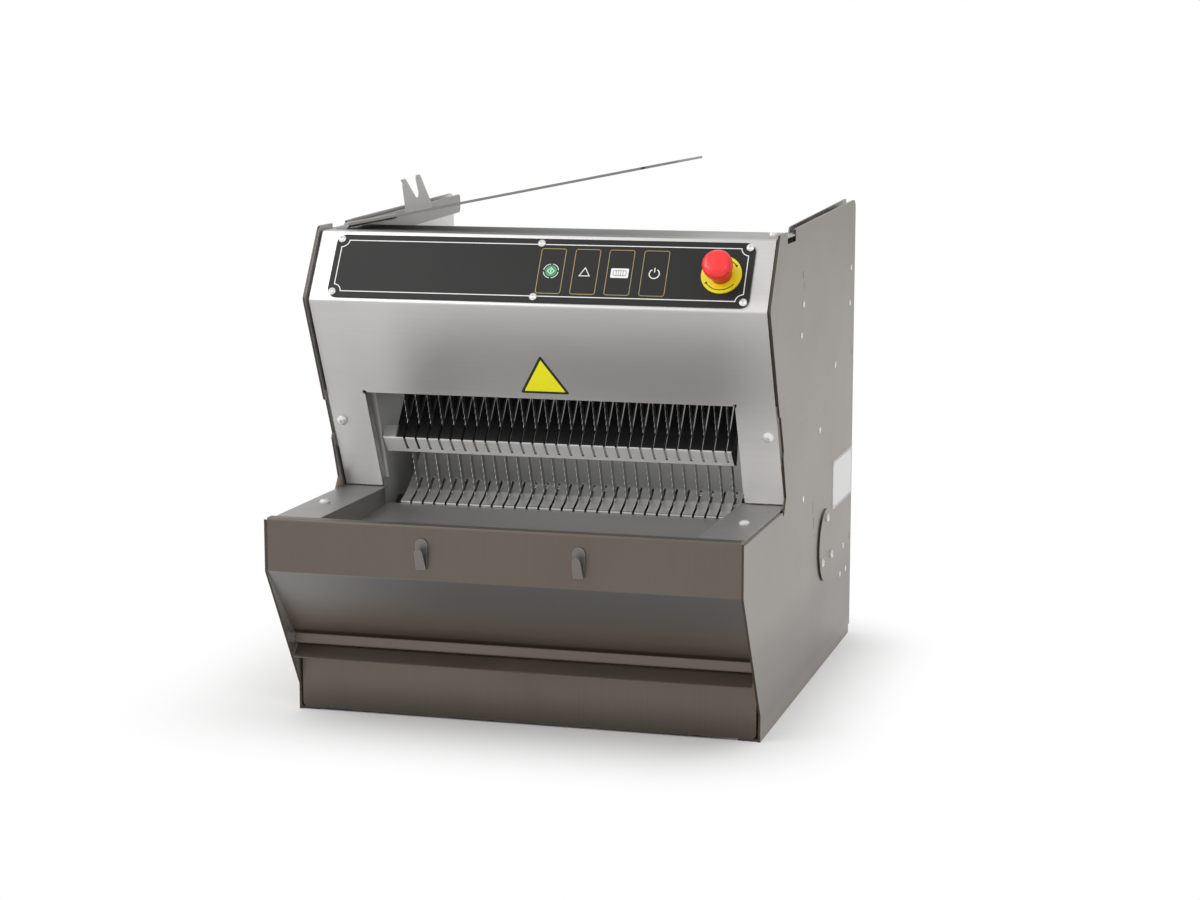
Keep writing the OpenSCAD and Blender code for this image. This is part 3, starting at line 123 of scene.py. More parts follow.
sky = add_node(room_tree, "ShaderNodeBackground", {"Color": backdrop.outputs["Result"], "Strength": 1.0})
add_node(room_tree, "ShaderNodeOutputWorld", {"Surface": sky.outputs["Background"]})


# Soft boxes: a large one high on the left, a weaker one over the right shoulder of the camera.
def soft_box(name, spot, aim, size, power):
    bpy.ops.object.light_add(type="AREA", location=spot)
    lamp = bpy.context.object
    lamp.name = name
    lamp.data.shape = "SQUARE"
    lamp.data.size = size
    lamp.data.energy = power
    lamp.rotation_euler = (Vector(aim) - Vector(spot)).to_track_quat("-Z", "Y").to_euler()


machine_middle = (0, 0, 0.35)
soft_box("key_box", spot=(-2.4, -2.2, 2.9), aim=machine_middle, size=2.2, power=62)
soft_box("fill_box", spot=(2.2, -2.6, 1.8), aim=machine_middle, size=1.6, power=12)

# Camera: it stands in front of the machine and to its right, at the photograph's angle.
photo_width = 1200
lens_pixels = 2528.3
sensor = 36.0
camera_spot = (0.9430, -3.3334, 0.8647)
camera_turn = 0.2722
camera_dip = 0.1589
bpy.ops.object.camera_add(location=camera_spot)
camera = bpy.context.object
camera.name = "photo_camera"
camera.rotation_euler = (math.pi / 2 - camera_dip, 0, camera_turn)
camera.data.sensor_width = sensor
camera.data.lens = lens_pixels / photo_width * sensor
bpy.context.scene.camera = camera
bpy.context.scene.view_settings.view_transform = "Standard"


# Marks that the finishes share: the fine lines of the belt sander, the smudges of handling, and edges
# made brighter, partly where they are worn and partly as a painted highlight.
def add_socket(group, name, way, kind):
    group.interface.new_socket(name=name, in_out=way, socket_type=kind)


def sanded_grain_group():
    group = bpy.data.node_groups.new("sanded_grain", "ShaderNodeTree")
    add_socket(group, "Grain Scale", "INPUT", "NodeSocketVector")
    add_socket(group, "Streak", "OUTPUT", "NodeSocketFloat")
    add_socket(group, "Smudge", "OUTPUT", "NodeSocketFloat")
    given = add_node(group, "NodeGroupInput")
    place = add_node(group, "ShaderNodeTexCoord").outputs["Object"]
    stretched = vector_math(group, "MULTIPLY", place, given.outputs["Grain Scale"])
    streak = add_node(group, "ShaderNodeTexNoise", {"Vector": stretched, "Scale": 1.0, "Detail": 3.0})
    smudge = add_node(group, "ShaderNodeTexNoise",
                      {"Vector": place, "Scale": 5.5, "Detail": 4.0, "Distortion": 0.6})
    add_node(group, "NodeGroupOutput", {"Streak": streak.outputs["Fac"], "Smudge": smudge.outputs["Fac"]})
    return group


def worn_and_highlit_edge_group():
    wear_and_highlight_width = 0.0010
    group = bpy.data.node_groups.new("worn_and_highlit_edge", "ShaderNodeTree")
    add_socket(group, "Wear And Highlight", "OUTPUT", "NodeSocketFloat")
    rounded = add_node(group, "ShaderNodeBevel", {"Radius": wear_and_highlight_width}, samples=4)
    flat = add_node(group, "ShaderNodeNewGeometry")
    agree = vector_math(group, "DOT_PRODUCT", rounded.outputs["Normal"], flat.outputs["Normal"],
                        result="Value")
    wear = add_node(group, "ShaderNodeMapRange", {"Value": agree, "From Min": 0.995, "From Max": 0.85})
    add_node(group, "NodeGroupOutput", {"Wear And Highlight": wear.outputs["Result"]})
    return group


sanded_grain = sanded_grain_group()
worn_and_highlit_edge = worn_and_highlit_edge_group()


# Stainless sheet: brushed one way, with faint smudges and with corners a little brighter, partly from wear
# and partly as a painted highlight. The tone and the direction of the grain differ from piece to piece.
def shade(color, factor):
    return tuple(min(1.0, part * factor) for part in color) + (1,)


def mix_tones(tree, share, first, second, **settings):
    mixed = add_node(tree, "ShaderNodeMix", data_type="RGBA", **settings)
    feed(tree, mixed, {"Factor": share, "A": first, "B": second})
    return mixed.outputs["Result"]


def sheet_steel(name, color, grain, rough=0.34, metal=0.92, streak=0.10, smudge=0.10, edge=1.25, bump=0.12):
    finish = bpy.data.materials.new(name)
    finish.use_nodes = True
    tree = finish.node_tree
    marks = add_node(tree, "ShaderNodeGroup", node_tree=sanded_grain)
    feed(tree, marks, {"Grain Scale": grain})
    edges = add_node(tree, "ShaderNodeGroup", node_tree=worn_and_highlit_edge)
    lined = mix_tones(tree, marks.outputs["Streak"], shade(color, 1 - streak), shade(color, 1 + streak))
    smudged = mix_tones(tree, marks.outputs["Smudge"], lined, shade((1, 1, 1), 1 - smudge),
                        blend_type="MULTIPLY")
    worn_and_highlit = mix_tones(tree, edges.outputs["Wear And Highlight"], smudged, shade(color, edge))
    gloss = add_node(tree, "ShaderNodeMapRange",
                     {"Value": marks.outputs["Smudge"], "From Min": 0.25, "From Max": 0.75,
                      "To Min": rough - 0.6 * smudge, "To Max": rough + 0.8 * smudge})
    relief = add_node(tree, "ShaderNodeBump",
                      {"Height": marks.outputs["Streak"], "Strength": bump, "Distance": 0.0002})
    feed(tree, tree.nodes["Principled BSDF"],
         {"Base Color": worn_and_highlit, "Metallic": metal, "Roughness": gloss.outputs["Result"],
          "Normal": relief.outputs["Normal"]})
    return finish


def dress(finish, *node_names):
    for node_name in node_names:
        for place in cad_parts[node_name].material_slots:
            place.material = finish


# Second tones on a sheet. A share from 0 to 1 says where they lie: on faces turned one way, such as sawn
# edges and folds, or along one axis of the machine, where the sheet looks lighter or darker.
def axis_share(finish, source, axis, start, end, both_ways, interpolation):
    tree = finish.node_tree
    place = add_node(tree, "ShaderNodeTexCoord")
    parts = add_node(tree, "ShaderNodeSeparateXYZ", {0: place.outputs[source]})
    part = parts.outputs[axis]
    if both_ways:
        part = number_math(tree, "ABSOLUTE", part)
    share = add_node(tree, "ShaderNodeMapRange", {"Value": part, "From Min": start, "From Max": end},
                     interpolation_type=interpolation)
    return share.outputs["Result"]


def facing(finish, axis, start, end, both_ways=False):
    return axis_share(finish, "Normal", axis, start, end, both_ways, "LINEAR")


def along(finish, axis, start, end, both_ways=False):
    return axis_share(finish, "Object", axis, start, end, both_ways, "SMOOTHSTEP")


def overlay(finish, share, tone, **settings):
    tree = finish.node_tree
    color_in = tree.nodes["Principled BSDF"].inputs["Base Color"]
    mixed = mix_tones(tree, share, color_in.links[0].from_socket, tone, **settings)
    tree.links.new(mixed, color_in)


def scale_tone(finish, gain, *shares):
    amount = shares[0]
    for share in shares[1:]:
        amount = number_math(finish.node_tree, "MULTIPLY", amount, share)
    overlay(finish, amount, (gain, gain, gain, 1), blend_type="MULTIPLY", clamp_result=True)


# Side panels and the round cover of the shaft's end: warm grey sheet with a pale painted reflection inside,
# darker in a band above the floor. The edges that face the operator are dark brown from the laser cutter.
along_x = (9, 700, 700)
along_y = (700, 9, 700)
along_z = (700, 700, 9)
panel_tone = (0.272, 0.248, 0.222)
cut_edge = (0.085, 0.062, 0.045, 1)
inner_painted_reflection = (0.74, 0.735, 0.73, 1)


def panel_steel(name, inner_turn):
    finish = sheet_steel(name, panel_tone, along_y, rough=0.37, smudge=0.03)
    overlay(finish, facing(finish, "Y", -0.3, -0.6), cut_edge)
    # painted reflection: a pale tone on the inner faces
    overlay(finish, facing(finish, "X", 0.8 * inner_turn, 0.9 * inner_turn), inner_painted_reflection)
    towards_foot = along(finish, "Z", 0.16, 0.095)
    above_floor = along(finish, "Z", 0.012, 0.030)
    scale_tone(finish, 0.80, towards_foot, above_floor)
    return finish


dress(panel_steel("right_steel", inner_turn=-1), "right_side_panel", "shaft_cover")
dress(panel_steel("left_steel", inner_turn=1), "left_side_panel")

# Rear panel, pusher and crumb tray: mid-grey sheet with its grain across the machine. On the pusher's
# arms it runs from front to back.
sheet_x = sheet_steel("sheet_x", (0.46, 0.455, 0.445), along_x)
dress(sheet_x, "rear_panel", "pusher_comb", "pusher_fingers", "crumb_tray")
sheet_y = sheet_steel("sheet_y", (0.44, 0.43, 0.42), along_y)
dress(sheet_y, "pusher_arms")

# Loaf bay liners: pale sheet with upright grain, less metallic to the eye than the outer panels.
liner_steel = sheet_steel("liner_steel", (0.80, 0.80, 0.79), along_z, rough=0.42, metal=0.7)
dress(liner_steel, "bay_liners")

# Hold-down nose: a bright folded strip. Its upward faces are nearly as black as the grate, apart from a
# bare grey end at the operator's left, and the walls of its slots carry black painted shade.
fold_black = (0.008, 0.008, 0.008, 1)
bare_end = (0.42, 0.42, 0.41, 1)
slot_wall_shade = (0.004, 0.004, 0.004, 1)
nose_steel = sheet_steel("nose_steel", (0.93, 0.905, 0.89), along_x, metal=0.25)
at_left_end = along(nose_steel, "X", -0.223, -0.228)
upper_fold = mix_tones(nose_steel.node_tree, at_left_end, fold_black, bare_end)
overlay(nose_steel, facing(nose_steel, "Z", 0.1, 0.3), upper_fold)
overlay(nose_steel, facing(nose_steel, "X", 0.5, 0.8, both_ways=True), slot_wall_shade)
dress(nose_steel, "hold_down_nose")

# Front cover: finely brushed sheet with a soft sheen. A painted reflection makes it brightest low on the
# wings; painted shade darkens its left end, the band over the mouth and the right of the upper face.
cover_steel = sheet_steel("cover_steel", (0.632, 0.622, 0.612), along_x, rough=0.38, metal=0.88,
                          streak=0.055, smudge=0.06, bump=0.06)
# painted reflection: brighter low on the wings, more so towards the right
on_wings = along(cover_steel, "X", 0.20, 0.25, both_ways=True)
down_wings = along(cover_steel, "Z", 0.445, 0.315)
towards_right = along(cover_steel, "X", -0.42, 0.16)
scale_tone(cover_steel, 1.62, on_wings, down_wings, towards_right)
# painted shade: the left end of the lower face
left_end = along(cover_steel, "X", -0.20, -0.27)
lower_face_share = along(cover_steel, "Z", 0.545, 0.530)
scale_tone(cover_steel, 0.89, left_end, lower_face_share)
# painted shade: the band over the mouth between the wings
down_to_mouth = along(cover_steel, "Z", 0.565, 0.435)
above_mouth = along(cover_steel, "Z", 0.375, 0.430)
past_left_wing = along(cover_steel, "X", -0.235, -0.155)
before_right_wing = along(cover_steel, "X", 0.29, 0.225)
scale_tone(cover_steel, 0.80, down_to_mouth, above_mouth, past_left_wing, before_right_wing)
# painted shade: the right of the upper face
upper_face_share = along(cover_steel, "Z", 0.54, 0.56)
upper_right = along(cover_steel, "X", -0.10, 0.24)
scale_tone(cover_steel, 0.86, upper_face_share, upper_right)
dress(cover_steel, "front_cover")

# Chute, top strip and bag fork: darker sheet with bright edges, partly worn and partly painted highlight.
floor_steel = sheet_steel("floor_steel", (0.40, 0.395, 0.39), along_x, rough=0.40, edge=1.7)
dress(floor_steel, "chute_walls", "chute_floor", "top_plate", "bag_fork")

# Slotted floor: nearly the same sheet, with black painted shade on the walls of its slots.
slot_steel = sheet_steel("slot_steel", (0.42, 0.415, 0.41), along_x, rough=0.40, edge=1.7)
overlay(slot_steel, facing(slot_steel, "X", 0.5, 0.8, both_ways=True), slot_wall_shade)
dress(slot_steel, "slotted_floor")

# Flap and top rails: dark sheet, darker still on the faces towards the operator and the wall.
fold_tone = (0.24, 0.23, 0.22, 1)
flap_steel = sheet_steel("flap_steel", (0.36, 0.35, 0.34), along_x)
overlay(flap_steel, facing(flap_steel, "Y", 0.5, 0.8, both_ways=True), fold_tone)
dress(flap_steel, "top_flap", "top_rails")

# Bag hooks: dark bent plate with bright edges.
hook_steel = sheet_steel("hook_steel", (0.20, 0.19, 0.18), along_z, rough=0.40, edge=1.6)
dress(hook_steel, "bag_hooks")

# Drawer front: brown-grey sheet, darkened towards the floor by painted shade. Only the flat shelf on it,
# which faces straight up, is much paler, lit by painted light.
brown_sheet = (0.152, 0.127, 0.107)
shelf_painted_light = (0.75, 0.70, 0.66, 1)
shaded_z = sheet_steel("shaded_z", brown_sheet, along_z, rough=0.38, streak=0.07, edge=1.5)
# painted light on the flat shelf, which lies in shade under the apron
overlay(shaded_z, facing(shaded_z, "Z", 0.88, 0.96), shelf_painted_light)
# painted shade towards the floor
scale_tone(shaded_z, 0.60, along(shaded_z, "Z", 0.052, -0.006))
dress(shaded_z, "drawer_front")

# Chute apron: the same sheet, but its slanted underside carries a painted grey reflection, palest towards
# the operator's left and browner lower down. A narrow band near the bottom bend is dark with painted shade.
pale_left = (0.235, 0.228, 0.220, 1)
grey_right = (0.132, 0.126, 0.122, 1)
brown_low = (0.165, 0.135, 0.112, 1)
apron_steel = sheet_steel("apron_steel", brown_sheet, along_z, rough=0.38, streak=0.07, edge=1.5)
left_to_right = along(apron_steel, "X", -0.31, -0.05)
low_to_high = along(apron_steel, "Z", 0.125, 0.185)
grey_part = mix_tones(apron_steel.node_tree, left_to_right, pale_left, grey_right)
underside_painted_reflection = mix_tones(apron_steel.node_tree, low_to_high, brown_low, grey_part)
# painted reflection on the slanted underside
overlay(apron_steel, facing(apron_steel, "Z", -0.15, -0.35), underside_painted_reflection)
# painted shade: a narrow dark band near the bottom bend
band_top = along(apron_steel, "Z", 0.1155, 0.1110)
band_bottom = along(apron_steel, "Z", 0.1055, 0.1075)
scale_tone(apron_steel, 0.42, band_top, band_bottom)
dress(apron_steel, "chute_apron")

# Base, brackets and other hidden sheet: zinc-plated, with a mottled tone that runs no particular way.
zinc = sheet_steel("zinc", (0.42, 0.42, 0.40), (60, 60, 60), rough=0.45, streak=0.14)
dress(zinc, "base_plate", "cover_brackets", "motor_bed", "drawer_runners", "flap_hinge", "floor_support",
      "electrics_box")

# Blades and their frames: ground blade steel, and milled alloy beams, bars, hangers, rods and blocks.
blade_steel = sheet_steel("blade_steel", (0.40, 0.40, 0.395), along_z, rough=0.30, edge=1.2)
dress(blade_steel, "blades_a", "blades_b")
frame_alloy = sheet_steel("frame_alloy", (0.50, 0.50, 0.49), along_x, rough=0.40)
dress(frame_alloy, "blade_beams_a", "side_bars_a", "hangers_a", "blade_beams_b", "side_bars_b",
      "hangers_b", "rod_blocks", "con_rods_a", "con_rods_b", "hold_down_brackets")

# Shafts and guide rods: ground and polished.
ground_shaft = sheet_steel("ground_shaft", (0.62, 0.62, 0.62), along_z, rough=0.18, streak=0.04)
dress(ground_shaft, "guide_rods", "crankshaft", "pusher_shaft", "hold_down_rod")

# Screws and bushings: bright button heads, and bronze.
small_grain = (90, 90, 90)
screw_steel = sheet_steel("screw_steel", (0.80, 0.80, 0.79), small_grain, rough=0.28, metal=0.55,
                          streak=0.04, edge=1.1)
dress(screw_steel, "panel_screws")
bronze = sheet_steel("bronze", (0.42, 0.29, 0.13), small_grain, rough=0.38)
dress(bronze, "bushings_a", "bushings_b")


# Cast iron, enamel, rubber and moulded plastic: darker finishes with a fine speckle in tone and relief.
def speckled(name, color, rough=0.5, metal=0.0, scale=420.0, spread=0.12, bump=0.15, coat=0.0,
             edge=1.35, sheen=0.5):
    finish = bpy.data.materials.new(name)
    finish.use_nodes = True
    tree = finish.node_tree
    marks = add_node(tree, "ShaderNodeGroup", node_tree=sanded_grain)
    feed(tree, marks, {"Grain Scale": (scale, scale, scale)})
    edges = add_node(tree, "ShaderNodeGroup", node_tree=worn_and_highlit_edge)
    spotted = mix_tones(tree, marks.outputs["Streak"], shade(color, 1 - spread), shade(color, 1 + spread))
    worn_and_highlit = mix_tones(tree, edges.outputs["Wear And Highlight"], spotted, shade(color, edge))
    gloss = add_node(tree, "ShaderNodeMapRange",
                     {"Value": marks.outputs["Smudge"], "To Min": rough - 0.08, "To Max": rough + 0.08})
    relief = add_node(tree, "ShaderNodeBump",
                      {"Height": marks.outputs["Streak"], "Strength": bump, "Distance": 0.0003})
    feed(tree, tree.nodes["Principled BSDF"],
         {"Base Color": worn_and_highlit, "Metallic": metal, "Roughness": gloss.outputs["Result"],
          "Normal": relief.outputs["Normal"], "Coat Weight": coat, "Specular IOR Level": sheen})
    return finish


dress(speckled("grey_iron", (0.045, 0.046, 0.048), rough=0.52, metal=0.4), "crank_pulley",
      "motor_pulley", "crank_bearings", "pusher_bearings")
dress(speckled("motor_enamel", (0.06, 0.075, 0.085), rough=0.38, coat=0.2), "main_motor",
      "pusher_gearmotor")
dress(speckled("belt_rubber", (0.014, 0.014, 0.014), rough=0.7), "drive_belt")
dress(speckled("black_polymer", (0.006, 0.006, 0.007), sheen=0.25), "hold_down_grate", "cable_gland")
dress(speckled("board_case", (0.03, 0.03, 0.033), rough=0.55), "control_unit")
dress(speckled("control_face", (0.016, 0.016, 0.0155), rough=0.42, scale=1500, spread=0.05, bump=0.05,
               edge=1.1, sheen=0.22), "control_plate")


# Printing on the control plate: a white border with hollow corners round the screws, and four thin gold
# frames with a symbol in each, screen-printed in raised ink.
def leaning_face(run, rise, foot_y, foot_z):
    return Matrix(((1, 0, 0, 0), (0, run, -rise, foot_y), (0, rise, run, foot_z), (0, 0, 0, 1)))


def lay_on(piece, face, out, ink, body="housing"):
    piece.data.materials.clear()
    piece.data.materials.append(ink)
    piece.matrix_world = face @ Matrix.Translation((0, 0, out)) @ piece.matrix_world
    bpy.ops.object.select_all(action="DESELECT")
    piece.select_set(True)
    bpy.context.view_layer.objects.active = piece
    bpy.ops.object.transform_apply(location=True, rotation=True, scale=True)
    bpy.ops.object.mode_set(mode="EDIT")
    bpy.ops.mesh.select_all(action="SELECT")
    bpy.ops.mesh.remove_doubles(threshold=0.000001)
    bpy.ops.mesh.normals_make_consistent(inside=False)
    bpy.ops.object.mode_set(mode="OBJECT")
    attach(piece, body)


def new_plane(name, middle, size):
    bpy.ops.object.select_all(action="DESELECT")
    bpy.ops.mesh.primitive_plane_add(size=1, location=(middle[0], middle[1], 0))
    piece = bpy.context.object
    piece.name = name
    piece.scale = (size[0], size[1], 1)
    bpy.ops.object.transform_apply(location=True, rotation=False, scale=True)
    bpy.ops.object.mode_set(mode="EDIT")
    bpy.ops.mesh.select_all(action="SELECT")
    return piece


def raise_sheet(lift):
    bpy.ops.mesh.select_all(action="SELECT")
    bpy.ops.mesh.extrude_region_move(TRANSFORM_OT_translate={"value": (0, 0, lift)})
    bpy.ops.object.mode_set(mode="OBJECT")


upper_face = leaning_face(run=0.5295, rise=0.848, foot_y=-0.276, foot_z=0.537)
plate_top = 0.00232
ink_lift = 0.00018


def ruled_frame(name, middle, size, corner, profile, line, lift=ink_lift):
    piece = new_plane(name, middle, size)
    bpy.ops.mesh.bevel(offset=corner, segments=7, profile=profile, affect="VERTICES")
    bpy.ops.mesh.select_all(action="SELECT")
    bpy.ops.mesh.inset(thickness=line, depth=0)
    bpy.ops.mesh.delete(type="FACE")
    raise_sheet(lift)
    return piece


white_ink = speckled("white_ink", (0.80, 0.80, 0.79), rough=0.45, spread=0.03, bump=0.02, edge=1.0)
gold_ink = speckled("gold_ink", (0.30, 0.215, 0.10), rough=0.35, metal=0.5, spread=0.06, bump=0.02)
border = ruled_frame("border_line", (0, 0.05025), (0.5450, 0.0750), corner=0.0098, profile=0.09, line=0.0012)
lay_on(border, upper_face, plate_top, white_ink)
frame_size = (0.0335, 0.0645)
frame_places = (0.0179, 0.0635, 0.1084, 0.1540)
symbol_rise = 0.0495
for number, across in enumerate(frame_places):
    gold_frame = ruled_frame("symbol_frame_%d" % (number + 1), (across, symbol_rise), frame_size,
                             corner=0.0035, profile=0.5, line=0.0009)
    lay_on(gold_frame, upper_face, plate_top, gold_ink)


# Start symbol: a green disc with a white diamond and bar, in a white ring broken into four arcs.
def flat_bar(name, middle, size, corner, lift=ink_lift):
    piece = new_plane(name, middle, size)
    bpy.ops.mesh.bevel(offset=corner, segments=3, profile=0.5, affect="VERTICES")
    raise_sheet(lift)
    return piece


def flat_ring(name, middle, radius, line, sides=48, turn=0.0, gaps=()):
    bpy.ops.object.select_all(action="DESELECT")
    bpy.ops.mesh.primitive_circle_add(vertices=sides, radius=radius, fill_type="NGON",
                                      location=(middle[0], middle[1], 0), rotation=(0, 0, turn))
    piece = bpy.context.object
    piece.name = name
    bpy.ops.object.transform_apply(location=True, rotation=True, scale=True)
    bpy.ops.object.mode_set(mode="EDIT")
    bpy.ops.mesh.select_all(action="SELECT")
    if line:
        bpy.ops.mesh.inset(thickness=line, depth=0)
        bpy.ops.mesh.delete(type="FACE")
    if gaps:
        bpy.ops.mesh.select_all(action="DESELECT")
        bpy.ops.object.mode_set(mode="OBJECT")
        for face in piece.data.polygons:
            at = math.degrees(math.atan2(face.center.y - middle[1], face.center.x - middle[0])) % 360
            face.select = any(abs((at - gap + 180) % 360 - 180) < half_gap for gap, half_gap in gaps)
        bpy.ops.object.mode_set(mode="EDIT")
        bpy.ops.mesh.select_mode(type="FACE")
        bpy.ops.mesh.delete(type="FACE")
    raise_sheet(ink_lift)
    return piece


green_ink = speckled("green_ink", (0.02, 0.30, 0.10), rough=0.4, spread=0.05, bump=0.02, edge=1.0)
second_layer = plate_top + ink_lift
start_at = (frame_places[0], symbol_rise)
start_gaps = tuple((angle, 9) for angle in (0, 90, 180, 270))
lay_on(flat_ring("start_ring", start_at, 0.0103, 0.0009, gaps=start_gaps), upper_face, plate_top, white_ink)
lay_on(flat_ring("start_disc", start_at, 0.0078, 0), upper_face, plate_top, green_ink)
lay_on(flat_ring("start_diamond", start_at, 0.0052, 0.0009, sides=4), upper_face, second_layer, white_ink)
lay_on(flat_bar("start_bar", start_at, (0.0011, 0.0050), 0.0003), upper_face, second_layer, white_ink)

# Guard symbol: a plain white triangle outline.
guard_at = (0.0628, 0.0475)
lay_on(flat_ring("guard_triangle", guard_at, 0.0088, 0.0011, sides=3), upper_face, plate_top, white_ink)

# Loaf symbol: a white tablet with the grey outline of a sliced loaf.
grey_ink = speckled("grey_ink", (0.16, 0.16, 0.16), spread=0.05, bump=0.02, edge=1.0)
loaf_at = (0.1087, 0.0487)
cut_shifts = (-0.0045, -0.0015, 0.0015, 0.0045)
cut_size = (0.0006, 0.0070)
lay_on(flat_bar("loaf_tablet", loaf_at, (0.0232, 0.0134), 0.0012), upper_face, plate_top, white_ink)
loaf_outline = ruled_frame("loaf_outline", loaf_at, (0.0178, 0.0078), corner=0.0030, profile=0.5,
                           line=0.0007)
lay_on(loaf_outline, upper_face, second_layer, grey_ink)
for number, shift in enumerate(cut_shifts):
    loaf_cut = flat_bar("loaf_cut_%d" % (number + 1), (loaf_at[0] + shift, loaf_at[1]), cut_size, 0.0002)
    lay_on(loaf_cut, upper_face, second_layer, grey_ink)

# Power symbol: an open ring with an upright bar.
power_at = (0.1539, 0.0490)
bar_rise = 0.0052
top_gap = ((90, 32),)
lay_on(flat_ring("power_ring", power_at, 0.0072, 0.0013, gaps=top_gap), upper_face, plate_top, white_ink)
power_bar = flat_bar("power_bar", (power_at[0], power_at[1] + bar_rise), (0.0013, 0.0066), 0.0004)
lay_on(power_bar, upper_face, plate_top, white_ink)


# Hand guard sign on the lower face: a plain yellow triangle with a dark rim, a stuck-on foil.
def rounded_triangle(name, middle, radius, corner, lift):
    bpy.ops.object.select_all(action="DESELECT")
    bpy.ops.mesh.primitive_circle_add(vertices=3, radius=radius, fill_type="NGON",
                                      location=(middle[0], middle[1], 0))
    piece = bpy.context.object
    piece.name = name
    bpy.ops.object.transform_apply(location=True, rotation=True, scale=True)
    bpy.ops.object.mode_set(mode="EDIT")
    bpy.ops.mesh.select_all(action="SELECT")
    bpy.ops.mesh.bevel(offset=corner, segments=4, profile=0.5, affect="VERTICES")
    raise_sheet(lift)
    return piece


lower_face = leaning_face(run=-0.4264, rise=0.9044, foot_y=-0.152, foot_z=0.274)
sign_middle = (0.0003, 0.1783)
sign_radius = 0.0387
field_radius = sign_radius - 0.0068
rim_out = 0.00004
field_out = 0.00026
print_and_shade_black = speckled("print_and_shade_black", (0.012, 0.012, 0.012), rough=0.4, spread=0.05, bump=0.02)
sign_yellow = speckled("sign_yellow", (1.0, 0.93, 0.01), rough=0.4, spread=0.03, bump=0.02, edge=1.0)
sign_rim = rounded_triangle("sign_rim", sign_middle, sign_radius, corner=0.0035, lift=0.0002)
lay_on(sign_rim, lower_face, rim_out, print_and_shade_black)
sign_field = rounded_triangle("sign_field", sign_middle, field_radius, corner=0.0010, lift=0.0001)
lay_on(sign_field, lower_face, field_out, sign_yellow)

# Stop button: yellow ring with a dark arrow on each side, red neck and head in glossy plastic.
stop_yellow = speckled("stop_yellow", (0.84, 0.70, 0.01), rough=0.34, spread=0.04, bump=0.03, edge=1.1)
dress(stop_yellow, "stop_collar")
stop_red = speckled("stop_red", (0.88, 0.016, 0.020), rough=0.30, spread=0.04, bump=0.03, coat=0.3, edge=1.1)
dress(stop_red, "stop_head")
# painted shade: the neck is a darker copy of the head's red, under the head
stop_neck_shade_red = speckled("stop_neck_shade_red", (0.50, 0.010, 0.010), rough=0.34, spread=0.05, bump=0.03, edge=1.1)
dress(stop_neck_shade_red, "stop_neck")
stop_at = (0.2408, 0.0495)
ring_top = plate_top + 0.0024
tip_radius = 0.02185
arrow_gaps = ((0, 34), (180, 34))
lay_on(flat_ring("stop_arrows", stop_at, 0.0224, 0.0011, gaps=arrow_gaps), upper_face, ring_top,
       print_and_shade_black)
for number, (angle, point_turn) in enumerate(((34, -60), (214, 120))):
    tip = (stop_at[0] + tip_radius * math.cos(math.radians(angle)),
           stop_at[1] + tip_radius * math.sin(math.radians(angle)))
    arrow_point = flat_ring("stop_point_%d" % (number + 1), tip, 0.0024, 0, sides=3,
                            turn=math.radians(point_turn))
    lay_on(arrow_point, upper_face, ring_top, print_and_shade_black)

# Rating plate on the right panel, left blank: thin pale foil with a printed rim and corner rivets.
half_width = 0.310
half_depth = 0.318
right_face = Matrix(((0, 0, 1, half_width), (1, 0, 0, -half_depth), (0, 1, 0, 0), (0, 0, 0, 1)))
left_face = Matrix(((0, 0, -1, -half_width), (1, 0, 0, -half_depth), (0, 1, 0, 0), (0, 0, 0, 1)))
on_sheet = 0.00002
foil_thickness = 0.0006
plate_middle = (0.5553, 0.2463)
rivet_across = 0.0700
rivet_up = 0.0302
foil = speckled("foil", (0.90, 0.90, 0.89), rough=0.42, scale=900, spread=0.02, bump=0.03, edge=1.0)
rating_plate = flat_bar("rating_plate", plate_middle, (0.1495, 0.0695), 0.004, lift=foil_thickness)
lay_on(rating_plate, right_face, on_sheet, foil)
rating_rim = ruled_frame("rating_rim", plate_middle, (0.1470, 0.0670), corner=0.0035, profile=0.5,
                         line=0.0010, lift=0.0001)
lay_on(rating_rim, right_face, on_sheet + foil_thickness, grey_ink)


def rivet(name, spot, diameter, height, face, finish):
    bpy.ops.object.select_all(action="DESELECT")
    bpy.ops.mesh.primitive_cylinder_add(vertices=28, radius=diameter / 2, depth=height,
                                        location=(spot[0], spot[1], height / 2))
    piece = bpy.context.object
    piece.name = name
    bpy.ops.object.transform_apply(location=True, rotation=True, scale=True)
    bpy.ops.object.mode_set(mode="EDIT")
    bpy.ops.mesh.select_all(action="DESELECT")
    bpy.ops.object.mode_set(mode="OBJECT")
    for face_part in piece.data.polygons:
        face_part.select = face_part.normal.z > 0.5
    bpy.ops.object.mode_set(mode="EDIT")
    bpy.ops.mesh.select_mode(type="FACE")
    bpy.ops.mesh.bevel(offset=height * 0.55, segments=4, profile=0.5)
    bpy.ops.object.mode_set(mode="OBJECT")
    lay_on(piece, face, on_sheet, finish)
    bpy.ops.object.shade_smooth_by_angle(angle=math.radians(40))


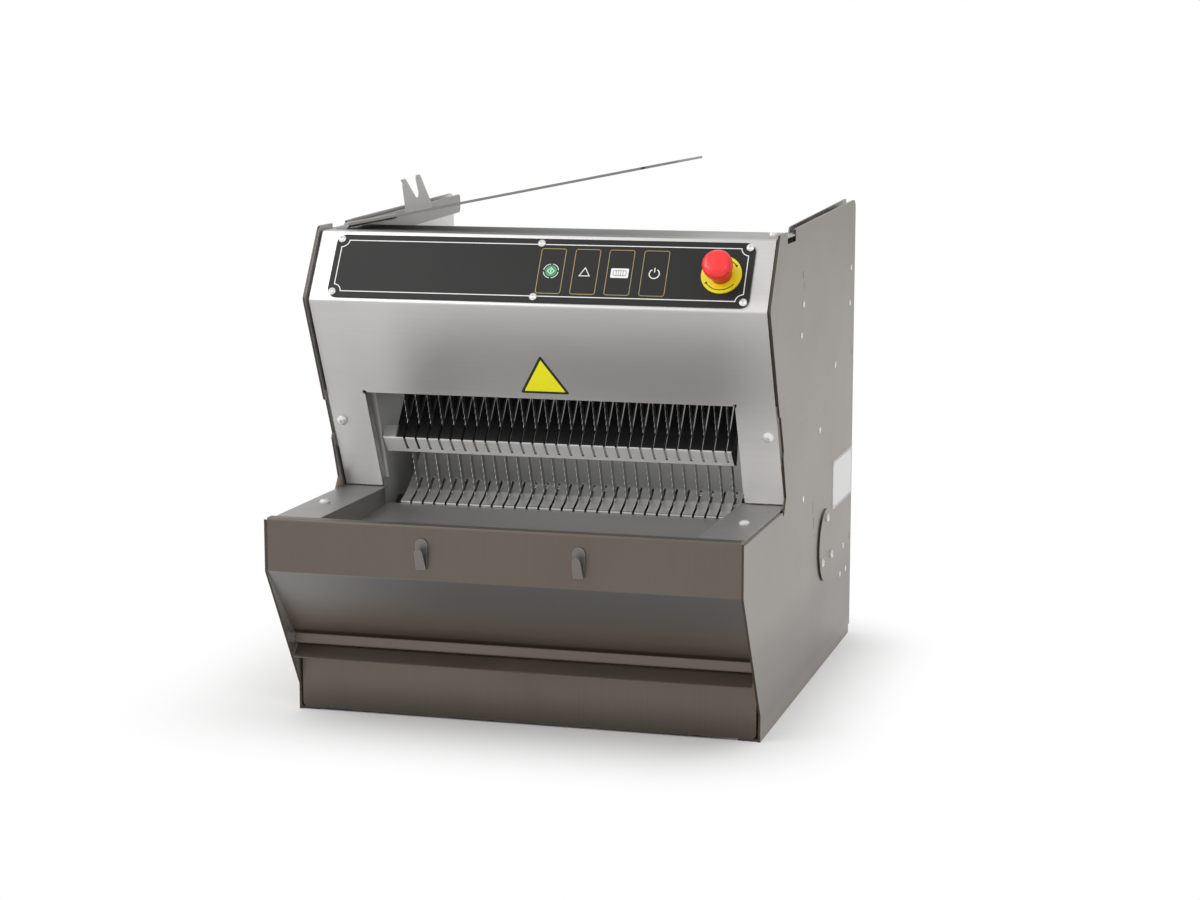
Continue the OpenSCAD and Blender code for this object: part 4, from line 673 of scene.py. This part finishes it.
for number, (side, level) in enumerate(((-1, -1), (1, -1), (1, 1), (-1, 1))):
    corner_spot = (plate_middle[0] + side * rivet_across, plate_middle[1] + level * rivet_up)
    rivet("plate_rivet_%d" % (number + 1), corner_spot, 0.0056, 0.0022, right_face, screw_steel)

# Flush rivets in the side panels, where the inner brackets, sheets and motor mounts are fixed. Each row is
# a rivet's depth behind the lower front plane and its height above the base.
rivet_places = ((0.2499, 0.5275), (0.2379, 0.4875), (0.4882, 0.4189), (0.3765, 0.3418),
                (0.2621, 0.2651), (0.6053, 0.5467), (0.5989, 0.4957), (0.5713, 0.1426),
                (0.5943, 0.1042), (0.5488, 0.1048))
panel_sides = (("right", right_face), ("left", left_face))
for number, spot in enumerate(rivet_places):
    for side_name, side_face in panel_sides:
        rivet("panel_rivet_%s_%02d" % (side_name, number + 1), spot, 0.0088, 0.0007, side_face, screw_steel)

# Small cut slots in the side panels, where tabs of the inner sheets sit, drawn as black painted shade. Each
# row is a slot's depth behind the lower front plane, its height above the base and how tall it is.
slot_places = ((0.2450, 0.5665, 0.0090), (0.2507, 0.5525, 0.0097), (0.3329, 0.2425, 0.0110),
               (0.3389, 0.2159, 0.0110), (0.3440, 0.2000, 0.0040), (0.6223, 0.4227, 0.0104),
               (0.6246, 0.1478, 0.0108))
slot_width = 0.0022
slot_corner = 0.0007
slot_lift = 0.00008
for number, (depth, height, tall) in enumerate(slot_places):
    for side_name, side_face in panel_sides:
        slot_shade = flat_bar("slot_%s_%d" % (side_name, number + 1), (depth, height), (slot_width, tall),
                        slot_corner, lift=slot_lift)
        lay_on(slot_shade, side_face, on_sheet, print_and_shade_black)

# Button-head screws that hold the top strip to the folded edges of the side panels.
strip_top = 0.6242
screw_across = 0.2880
screw_depth = 0.1520
strip_face = Matrix(((1, 0, 0, 0), (0, 1, 0, -half_depth), (0, 0, 1, strip_top), (0, 0, 0, 1)))
for number, side in enumerate((-1, 1)):
    rivet("strip_screw_%d" % (number + 1), (side * screw_across, screw_depth), 0.0115, 0.0042, strip_face,
          screw_steel)
